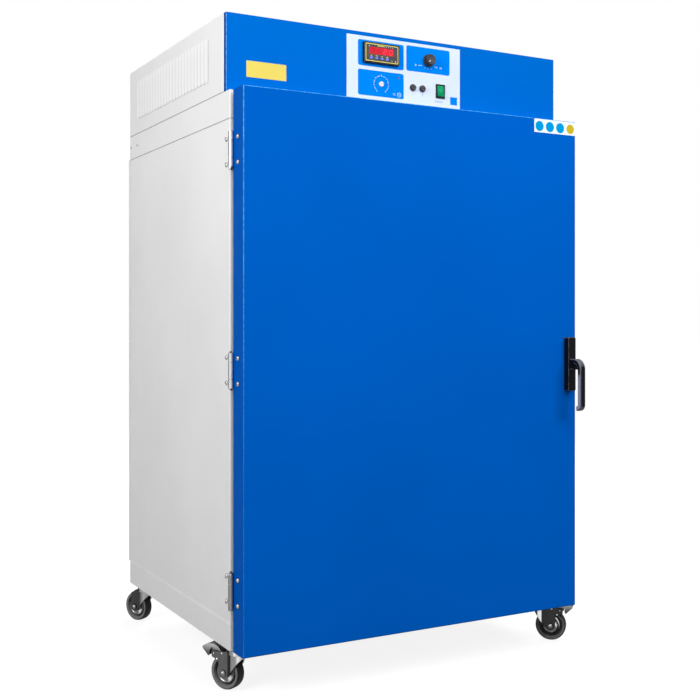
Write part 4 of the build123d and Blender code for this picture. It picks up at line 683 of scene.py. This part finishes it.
def smooth(piece, angle=35):
    """Smooth shading, except over edges sharper than an angle."""
    piece.data.polygons.foreach_set("use_smooth", [True] * len(piece.data.polygons))
    piece.data.set_sharp_from_angle(angle=radians(angle))
    return piece


def stand(origin, axis, turn=(0, 0, 1)):
    """Matrix that puts local Z on an axis through a point; turn is where local X points."""
    z = Vector(axis).normalized()
    x = Vector(turn)
    x = (x - z * x.dot(z)).normalized()
    y = z.cross(x)
    return Matrix.Translation(origin) @ Matrix((x, y, z)).transposed().to_4x4()


def turned_piece(name, profile, placed, material, body, steps=72):
    """Piece from a lathe profile, kept in its own axes and placed by a matrix."""
    mesh = lathe_mesh(name, profile, steps)
    return smooth(make_piece(name, mesh, material, body, placed))


# Printed areas on the overlay, in (x, z) millimetres
case_low, case_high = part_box("controller_case")
case_x = (case_low.x + case_high.x) / 2 / mm
case_z = (case_low.z + case_high.z) / 2 / mm
overlay_front_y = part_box("panel_overlay")[0].y / mm
ink = 0.08
area_round = 5
left_x = -65.5
left_width = 129.8
alarm_center = (-65.0, 1430.5)
knob_center = (72.0, 1504.0)
controller_area = rounded((left_x, 1502.5), left_width, 63, area_round)
controller_hole = rounded((case_x, case_z), 98, 48, 1)
alarm_area = rounded((left_x, 1430.7), left_width, 62.6, area_round)
knob_area = rounded((71.5, 1504), 129, 63, area_round)
corner_square = rounded((148.5, 1409.5), 21, 20, 0.6)
printed_areas = {
    "print_controller_area": [controller_area, controller_hole],
    "print_alarm_area": [alarm_area, disc(alarm_center, 6.6)],
    "print_knob_area": [knob_area, disc(knob_center, 5.0)],
    "print_corner_square": [corner_square],
}
for name, outlines in printed_areas.items():
    panel_print(name, outlines, overlay_front_y, azure_print, thickness=ink)

# Alarm dial: broken ring with ticks, open at the bottom
mark_back_y = overlay_front_y - ink
dial_radius = 21.0
dial_start = 235
dial_sweep = 290
dial_steps = 6
long_ticks = (0, 3, 6)
dial_marks = []
for step in range(dial_steps + 1):
    angle = dial_start - step * dial_sweep / dial_steps
    tick = 5.0 if step in long_ticks else 3.5
    inner = point_at(alarm_center, dial_radius - tick / 2, angle)
    outer = point_at(alarm_center, dial_radius + tick / 2, angle)
    dial_marks.append(bar(inner, outer, 1.1))
for step in range(dial_steps):
    start = dial_start - (step + 0.2) * dial_sweep / dial_steps
    dial_marks.append(band(alarm_center, dial_radius - 0.6, 0.8, start, start - 26))
panel_print("dial_marks", dial_marks, mark_back_y, white_print)
words("dial_unit", "°C", 5.2, mark_back_y, (-28.5, 1409.0), white_print)
ring_center = (-13.7, 1409.2)
ring_marks = [disc(ring_center, 5.4), disc(ring_center, 4.6), bar((-16.2, 1409.2), (-11.2, 1409.2), 0.9)]
panel_print("ring_mark", ring_marks, mark_back_y, white_print)

# Knob scale: short lines beside the knob with the numbers of its ends
knob_marks = [
    bar((42.5, 1489.0), (53.0, 1490.2), 0.8),
    bar((90.5, 1490.5), (100.0, 1489.0), 0.8),
    bar((60.5, 1486.2), (63.0, 1484.8), 0.8),
    bar((68.5, 1483.0), (72.5, 1482.4), 0.8),
    bar((78.5, 1483.2), (82.0, 1484.4), 0.8),
]
panel_print("knob_marks", knob_marks, mark_back_y, white_print)
words("knob_low", "0", 5.0, mark_back_y, (34.5, 1489.0), white_print)
words("knob_high", "10", 5.0, mark_back_y, (108.5, 1488.6), white_print)
words("fuse_number_1", "1", 4.4, overlay_front_y, (26.0, 1415.0), blue_print)
words("fuse_number_2", "2", 4.4, overlay_front_y, (54.0, 1415.0), blue_print)
words("switch_words", "ON/OFF", 5.0, overlay_front_y, (103.0, 1403.5), blue_print)

# Alarm lamp: small dark lens in its ring
lamp_ring = 0.4
lamp_profile = [(0, 1.7), (1.0, 1.5), (1.7, 0.9), (2.0, 0.0), (2.6, 0.0), (2.6, -lamp_ring)]
lamp_place = Vector((-14.0, mark_back_y - lamp_ring, 1451.3)) * mm
turned_piece("alarm_lamp", lamp_profile, stand(lamp_place, (0, -1, 0)),
             lamp_off, "cabinet", steps=32)

# Controller: dark face with a thin frame line, digits on the window, marks over the keys
case_front_y = case_low.y / mm
window_low, window_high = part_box("controller_window")
window_x = (window_low.x + window_high.x) / 2 / mm
window_z = (window_low.z + window_high.z) / 2 / mm
window_width = (window_high.x - window_low.x) / mm
window_height = (window_high.z - window_low.z) / mm
face_thickness = 0.12
window_hole = rounded((window_x, window_z), window_width, window_height, 0.5)
key_holes = []
key_places = []
for number in range(1, 5):
    low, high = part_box(f"controller_key_{number}")
    center = ((low.x + high.x) / 2 / mm, (low.z + high.z) / 2 / mm)
    key_places.append(center)
    key_holes.append(rounded(center, (high.x - low.x) / mm + 0.4, (high.z - low.z) / mm + 0.4, 0.4))
plate("controller_face", [rounded((case_x, case_z), 93, 43.4, 2.8), window_hole, *key_holes],
      case_front_y, face_thickness, case_face, "cabinet")
mark_y = case_front_y - face_thickness
mark_thickness = 0.05
frame_line = [rounded((case_x, case_z), 92.6, 43.0, 2.6), rounded((case_x, case_z), 88.8, 39.2, 1.6)]
plate("controller_frame_line", frame_line, mark_y, mark_thickness, gold_line, "cabinet")
key_marks = [rounded((x, z + 5.4), 4.6, 1.5, 0.3) for x, z in key_places]
key_marks.append(rounded((case_x - 2, case_z + 17.2), 22, 1.6, 0.5))
key_marks.append(rounded((case_x + 38.5, case_z - 16), 2.8, 2.8, 0.5))
plate("controller_key_marks", key_marks, mark_y, mark_thickness, gold_line, "cabinet")
dot_places = [(case_x + 12 + 6 * i, case_z + 16.6) for i in range(4)]
dot_places += [(case_x - 36, case_z + 15), (case_x + 28, case_z - 15)]
dots = [disc(place, 0.9, 20) for place in dot_places]
plate("controller_dots", dots, mark_y, mark_thickness, white_print, "cabinet")

# Seven-segment digits: each segment is a stroke with pointed ends
segments_of = {"0": "abcdef", "2": "abged", "8": "abcdefg"}


def digit_strokes(shape, center, width, height, stroke):
    """Outlines of the lit segments of one slanted digit."""
    slant = 0.12
    half = width / 2
    quarter = height / 2
    ends = {
        "a": ((-half, quarter), (half, quarter)),
        "b": ((half, quarter), (half, 0)),
        "c": ((half, 0), (half, -quarter)),
        "d": ((-half, -quarter), (half, -quarter)),
        "e": ((-half, 0), (-half, -quarter)),
        "f": ((-half, quarter), (-half, 0)),
        "g": ((-half, 0), (half, 0)),
    }
    outlines = []
    for segment in segments_of[shape]:
        start, end = [Vector(point) for point in ends[segment]]
        along = (end - start).normalized()
        side = Vector((-along.y, along.x)) * stroke / 2
        first = start + along * stroke * 0.15
        last = end - along * stroke * 0.15
        inset = along * stroke * 0.5
        one_side = (first, first + inset + side, last - inset + side)
        other_side = (last, last - inset - side, first + inset - side)
        ring = one_side + other_side
        outlines.append([(center[0] + p.x + slant * p.y, center[1] + p.y) for p in ring])
    return outlines


window_front_y = window_low.y / mm
digit_pitch = window_width / 4.2
dim_count = 2
dim_strokes = []
lit_strokes = []
for place, shape in enumerate("8820"):
    center = (window_x - window_width / 2 + digit_pitch * (place + 0.68), window_z - 0.3)
    strokes = digit_strokes(shape, center, digit_pitch * 0.5, window_height * 0.6, 1.5)
    if place < dim_count:
        dim_strokes += strokes
    else:
        lit_strokes += strokes
plate("display_dim_digits", dim_strokes, window_front_y, 0.04, digit_dim, "cabinet")
plate("display_lit_digits", lit_strokes, window_front_y, 0.06, digit_lit, "cabinet")


# Knob: ribbed moulding with a skirt and a pointer line
def ribbed_mesh(name, stations, ribs, steps_per_rib=6):
    """Turned mesh whose radius waves with the ribs; stations are (radius, z, rib depth)."""
    work = bmesh.new()
    steps = ribs * steps_per_rib
    rings = []
    for radius, z, depth in stations:
        ring = []
        for i in range(steps):
            wave = (1 - cos(2 * pi * i / steps_per_rib)) / 2
            local = (radius - depth * wave ** 2) * mm
            angle = 2 * pi * i / steps
            ring.append(work.verts.new((local * cos(angle), local * sin(angle), z * mm)))
        rings.append(ring)
    for low, high in zip(rings, rings[1:]):
        for i in range(steps):
            j = (i + 1) % steps
            work.faces.new((low[i], low[j], high[j], high[i]))
    work.faces.new(rings[-1])
    work.faces.new(list(reversed(rings[0])))
    bmesh.ops.recalc_face_normals(work, faces=work.faces)
    return mesh_from(name, work)


knob_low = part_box("speed_knob")[0]
knob_height = 15.0
knob_stations = [
    (3.0, -14.0, 0), (3.0, 0.0, 0), (15.6, 0.0, 0), (16.0, 0.5, 0), (16.0, 2.0, 0), (15.4, 2.6, 0),
    (14.5, 2.8, 0.9), (14.2, 7.0, 0.9), (13.8, 12.6, 0.9), (13.3, 14.2, 0.6), (12.2, knob_height, 0),
    (10.6, knob_height, 0), (10.0, knob_height - 0.5, 0), (6.0, knob_height - 0.6, 0),
    (1.0, knob_height - 0.6, 0),
]
knob_back_y = knob_low.y + knob_height * mm
knob_placed = stand((knob_center[0] * mm, knob_back_y, knob_center[1] * mm), (0, -1, 0))
knob_mesh = ribbed_mesh("knob_ribbed", knob_stations, ribs=30)
knob = make_piece("knob_ribbed", knob_mesh, black_matt, "speed_knob", knob_placed)
smooth(knob, 50)
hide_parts("speed_knob")
pointer_turn = 222
pointer_start = point_at(knob_center, 3.0, pointer_turn)
pointer_end = point_at(knob_center, 9.4, pointer_turn)
plate("knob_pointer", [bar(pointer_start, pointer_end, 1.3)], knob_low.y / mm + 0.6, 0.25,
      white_print, "speed_knob")

# Labels: plain plates where the photo has printed ones
label_thickness = 0.15
disc_thickness = 0.05
disc_z = 1350.0
fascia_front_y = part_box("control_fascia")[0].y / mm
plate("yellow_label", [rounded((-372.5, 1428.9), 101, 37.6, 1.0)], fascia_front_y, label_thickness,
      yellow_label, "cabinet")
door_front_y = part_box("door_skin")[0].y / mm
plate("door_label", [rounded((401.8, 1351.0), 134.5, 34.3, 1.0)], door_front_y, label_thickness,
      white_print, "door")
label_ink_y = door_front_y - label_thickness
cyan_discs = [disc((x, disc_z), 13.2) for x in (351.3, 384.9, 418.5)]
plate("door_label_discs", cyan_discs, label_ink_y, disc_thickness, cyan_print, "door")
plate("door_label_amber_disc", [disc((452.0, disc_z), 12.4)], label_ink_y, disc_thickness,
      amber_print, "door")

# Hinge barrels, and painted shade in the cross recesses of the hinge screw heads. The pins stick out 4 mm
# past the hinges, so the places found from their ends put the lowest and the highest hinge 4 mm too far out.
door_joint = Vector(joints["door_hinge"]["pos_m"]) / mm
hinge_end = 40.0
pins_low, pins_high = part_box("hinge_pins")
lowest_hinge = pins_low.z / mm + hinge_end
highest_hinge = pins_high.z / mm - hinge_end
hinge_heights = (lowest_hinge, (lowest_hinge + highest_hinge) / 2, highest_hinge)
sleeve_gap = 0.4
sleeve_bore = 4.2
sleeve_radius = 5.9
end_radius = 5.4
end_round = 0.5


def hinge_sleeve(name, middle_z, length, metal, body):
    """Rolled barrel round a hinge pin, with rounded ends."""
    half = (length - sleeve_gap) / 2
    outline = [
        (sleeve_bore, -half),
        (end_radius, -half),
        (sleeve_radius, end_round - half),
        (sleeve_radius, half - end_round),
        (end_radius, half),
        (sleeve_bore, half),
        (sleeve_bore, -half),
    ]
    middle = Vector((door_joint.x, door_joint.y, middle_z)) * mm
    placed = stand(middle, (0, 0, 1), turn=(1, 0, 0))
    turned_piece(name, outline, placed, metal, body, steps=32)


sleeve_door = 38.8
sleeve_cabinet = (2 * hinge_end - sleeve_door) / 2
sleeve_step = (sleeve_door + sleeve_cabinet) / 2
for number, (height, metal) in enumerate(zip(hinge_heights, lit_barrel_copies), start=1):
    hinge_sleeve(f"hinge_barrel_door_{number}", height, sleeve_door, metal, "door")
    hinge_sleeve(f"hinge_barrel_low_{number}", height - sleeve_step, sleeve_cabinet, metal, "cabinet")
    hinge_sleeve(f"hinge_barrel_high_{number}", height + sleeve_step, sleeve_cabinet, metal, "cabinet")
screw_drop = 28.5
screw_reach = 28.0
cross_depth = 0.25
cross_arm = 4.4
cross_width = 0.9
cross_raise = 0.05
cross_turn = 20


def cross_marks(name, head_x, y, body):
    """Crosses of painted shade on the screw heads of all three hinges, where their cross recesses are; the
    heads point to the left.
    """
    work = bmesh.new()
    turned_x = Matrix.Rotation(radians(cross_turn), 4, "X")
    strokes = ((cross_depth, cross_arm, cross_width), (cross_depth, cross_width, cross_arm))
    for height in hinge_heights:
        for drop in (-screw_drop, screw_drop):
            center = Vector((head_x - cross_raise, y, height + drop)) * mm
            for size in strokes:
                scaled = Matrix.Diagonal((*[length * mm for length in size], 1))
                matrix = Matrix.Translation(center) @ turned_x @ scaled
                bmesh.ops.create_cube(work, size=1.0, matrix=matrix)
    make_piece(name, mesh_from(name, work), recess_shade, body)


cabinet_head_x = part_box("cabinet_screws")[0].x / mm
door_head_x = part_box("hinge_screws_door")[0].x / mm
cross_marks("screw_recess_shade_cabinet", cabinet_head_x, door_joint.y + screw_reach, "cabinet")
cross_marks("screw_recess_shade_door", door_head_x, door_joint.y - screw_reach, "door")

# Rear cover: domed screws round its edge
cover_low, cover_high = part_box("rear_cover")
screw_profile = [(0, 1.8), (1.5, 1.7), (3.0, 1.1), (3.8, 0.3), (4.0, 0.0)]
cover_inset = 12 * mm
rows = 7
for row in range(rows):
    height = cover_low.z + cover_inset + (cover_high.z - cover_low.z - 2 * cover_inset) * row / (rows - 1)
    for side, x in (("left", cover_low.x + cover_inset), ("right", cover_high.x - cover_inset)):
        placed = stand((x, cover_high.y, height), (0, 1, 0))
        turned_piece(f"cover_screw_{side}_{row + 1}", screw_profile, placed,
                     bright_steel, "cabinet", steps=24)

# Casters: tyre and wheel on each axle, domed bolts and rivets on the fork
tyre_profile = [
    (29.6, -8.0), (31.5, -12.3), (34.0, -13.0), (37.0, -12.6), (39.0, -11.0), (39.8, -8.0), (40.0, -3.0),
    (40.0, 3.0), (39.8, 8.0), (39.0, 11.0), (37.0, 12.6), (34.0, 13.0), (31.5, 12.3), (29.6, 8.0),
    (29.6, -8.0),
]


def wheel_half(side):
    """Profile of one face of the wheel centre, from the tyre in to the hub."""
    points = [(30.2, 8.0), (29.6, 3.5), (25.2, 3.2), (24.8, 8.4), (24.0, 9.0), (23.2, 8.2), (20.0, 6.0)]
    points += [(15.0, 5.0), (12.0, 5.6), (10.6, 8.0), (10.2, 12.0), (9.0, 14.2), (5.1, 14.6)]
    return [(radius, side * z) for radius, z in points]


def paint_beyond(piece, radius, material):
    """Second material on the faces whose middle is further from the axle, in millimetres."""
    piece.data.materials.append(material)
    for face in piece.data.polygons:
        if Vector((face.center.x, face.center.y)).length / mm > radius:
            face.material_index = 1


tread_from = 37.5
groove_from = 24.9
bolt_profile = [(0, 1.6), (2.2, 1.5), (4.1, 1.1), (5.1, 0.5), (5.5, 0.0)]
rivet_profile = [(0, 1.5), (1.0, 1.3), (1.7, 0.7), (2.2, 0.0)]
rivets_back_up = ((38.0, 85.0), (60.0, 82.0), (52.0, 70.5))
fork_outer = 18.0
axle_head = 2.0
wheel_profile = wheel_half(-1) + list(reversed(wheel_half(1)))
# The front right wheel gets the disc whose painted highlight is turned another way
wheel_metals = {corner: wheel_metal_left for corner in corner_names}
wheel_metals["front_right"] = wheel_metal_right
for corner in corner_names:
    axle = joints[f"axle_{corner}"]
    center = Vector(axle["pos_m"])
    along = Vector(axle["axis"]).normalized()
    pivot, trail = caster_line(corner)
    wheel_body = f"wheel_{corner}"
    fork_body = f"fork_{corner}"
    on_axle = stand(center, along)
    tyre = turned_piece(f"tyre_{corner}", tyre_profile, on_axle, side_rubber, wheel_body)
    paint_beyond(tyre, tread_from, rubber)
    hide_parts(f"caster_tyre_{corner}")
    metal = wheel_metals[corner]
    wheel = turned_piece(f"wheel_disc_{corner}", wheel_profile, on_axle, metal, wheel_body)
    # Painted shade on the recessed ring of the wheel beyond the groove
    paint_beyond(wheel, groove_from, recess_shade)
    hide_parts(f"caster_rim_{corner}")
    for side in (-1, 1):
        outward = along * side
        seat = center + outward * (fork_outer + axle_head) * mm
        end = "a" if side < 0 else "b"
        turned_piece(f"axle_bolt_{corner}_{end}", bolt_profile, stand(seat, outward), bolt_metal,
                     fork_body, steps=40)
        if corner.startswith("front"):
            for number, (back, up) in enumerate(rivets_back_up, start=1):
                place = pivot + trail * back * mm + outward * fork_outer * mm
                place.z = up * mm
                turned_piece(f"fork_rivet_{corner}_{end}_{number}", rivet_profile, stand(place, outward),
                             bright_steel, fork_body, steps=24)


# Studio: white floor that keeps the shadow, white surroundings, four soft lights
def seen_directly(tree):
    """1 for camera, glossy and transmission rays, 0 for the rays that light the object."""
    path = tree.nodes.new("ShaderNodeLightPath")
    seen = path.outputs["Is Camera Ray"]
    for ray in ("Is Glossy Ray", "Is Transmission Ray"):
        either = tree.nodes.new("ShaderNodeMath")
        either.operation = "MAXIMUM"
        tree.links.new(seen, either.inputs[0])
        tree.links.new(path.outputs[ray], either.inputs[1])
        seen = either.outputs[0]
    return seen


def floor_material():
    """Matt pale floor that looks white, a little less so near the object, where its shadow shows."""
    made = Finish("studio_floor", specular=0.0)
    mottle = made.noise(3.0)
    made.link("Base Color", made.mix(mottle, (0.18, 0.18, 0.18, 1), (0.21, 0.21, 0.21, 1)))
    made.shader.inputs["Roughness"].default_value = 0.9
    made.shader.inputs["Emission Color"].default_value = (1, 1, 1, 1)
    distance = made.add("ShaderNodeVectorMath", {0: made.place}, output=1, operation="LENGTH")
    white = made.between(distance, 0.87, 0.97, start=0.8, end=3.0)
    made.link("Emission Strength", made.math("MULTIPLY", white, seen_directly(made.tree)))
    return made.material


floor_mesh = bpy.data.meshes.new("floor")
reach = 40.0
corners = [(-reach, -reach, 0), (reach, -reach, 0), (reach, reach, 0), (-reach, reach, 0)]
floor_mesh.from_pydata(corners, [], [(0, 1, 2, 3)])
floor = bpy.data.objects.new("floor", floor_mesh)
bpy.context.scene.collection.objects.link(floor)
floor_mesh.materials.append(floor_material())

world = bpy.data.worlds.new("studio")
world.use_nodes = True
bpy.context.scene.world = world
background = world.node_tree.nodes["Background"]
background.inputs["Color"].default_value = (1, 1, 1, 1)
ambient = 0.18
strength = world.node_tree.nodes.new("ShaderNodeMapRange")
strength.inputs["To Min"].default_value = ambient
strength.inputs["To Max"].default_value = 1.0
world.node_tree.links.new(seen_directly(world.node_tree), strength.inputs["Value"])
world.node_tree.links.new(strength.outputs[0], background.inputs["Strength"])


def soft_light(name, place, target, width, height, power):
    """Rectangular soft box at a place, aimed at a target."""
    light = bpy.data.lights.new(name, "AREA")
    light.shape = "RECTANGLE"
    light.size = width
    light.size_y = height
    light.energy = power
    lamp = bpy.data.objects.new(name, light)
    bpy.context.scene.collection.objects.link(lamp)
    lamp.location = place
    lamp.rotation_euler = (Vector(target) - Vector(place)).to_track_quat("-Z", "Y").to_euler()


soft_light("key", (-0.2, -2.6, 3.6), (0.1, -0.3, 1.5), 2.0, 1.4, 48)
soft_light("front", (1.3, -2.9, 2.3), (0.4, -0.4, 1.4), 1.6, 1.2, 44)
soft_light("side", (-3.0, -1.2, 2.1), (-0.4, 0.0, 1.2), 1.4, 1.4, 82)
soft_light("back", (2.2, 3.0, 2.8), (0.2, 0.4, 0.9), 1.8, 1.4, 150)

# Camera at the photo's place: level, with the frame shifted
camera_data = bpy.data.cameras.new("camera")
camera_data.lens = 55.764
camera_data.sensor_width = 36
camera_data.shift_x = -0.0028
camera_data.shift_y = -0.0415
camera = bpy.data.objects.new("camera", camera_data)
bpy.context.scene.collection.objects.link(camera)
camera.location = (-1.4119, -2.5909, 0.8506)
camera.rotation_euler = (radians(90), 0, radians(-28.91))
bpy.context.scene.camera = camera
bpy.context.scene.view_settings.view_transform = "Standard"
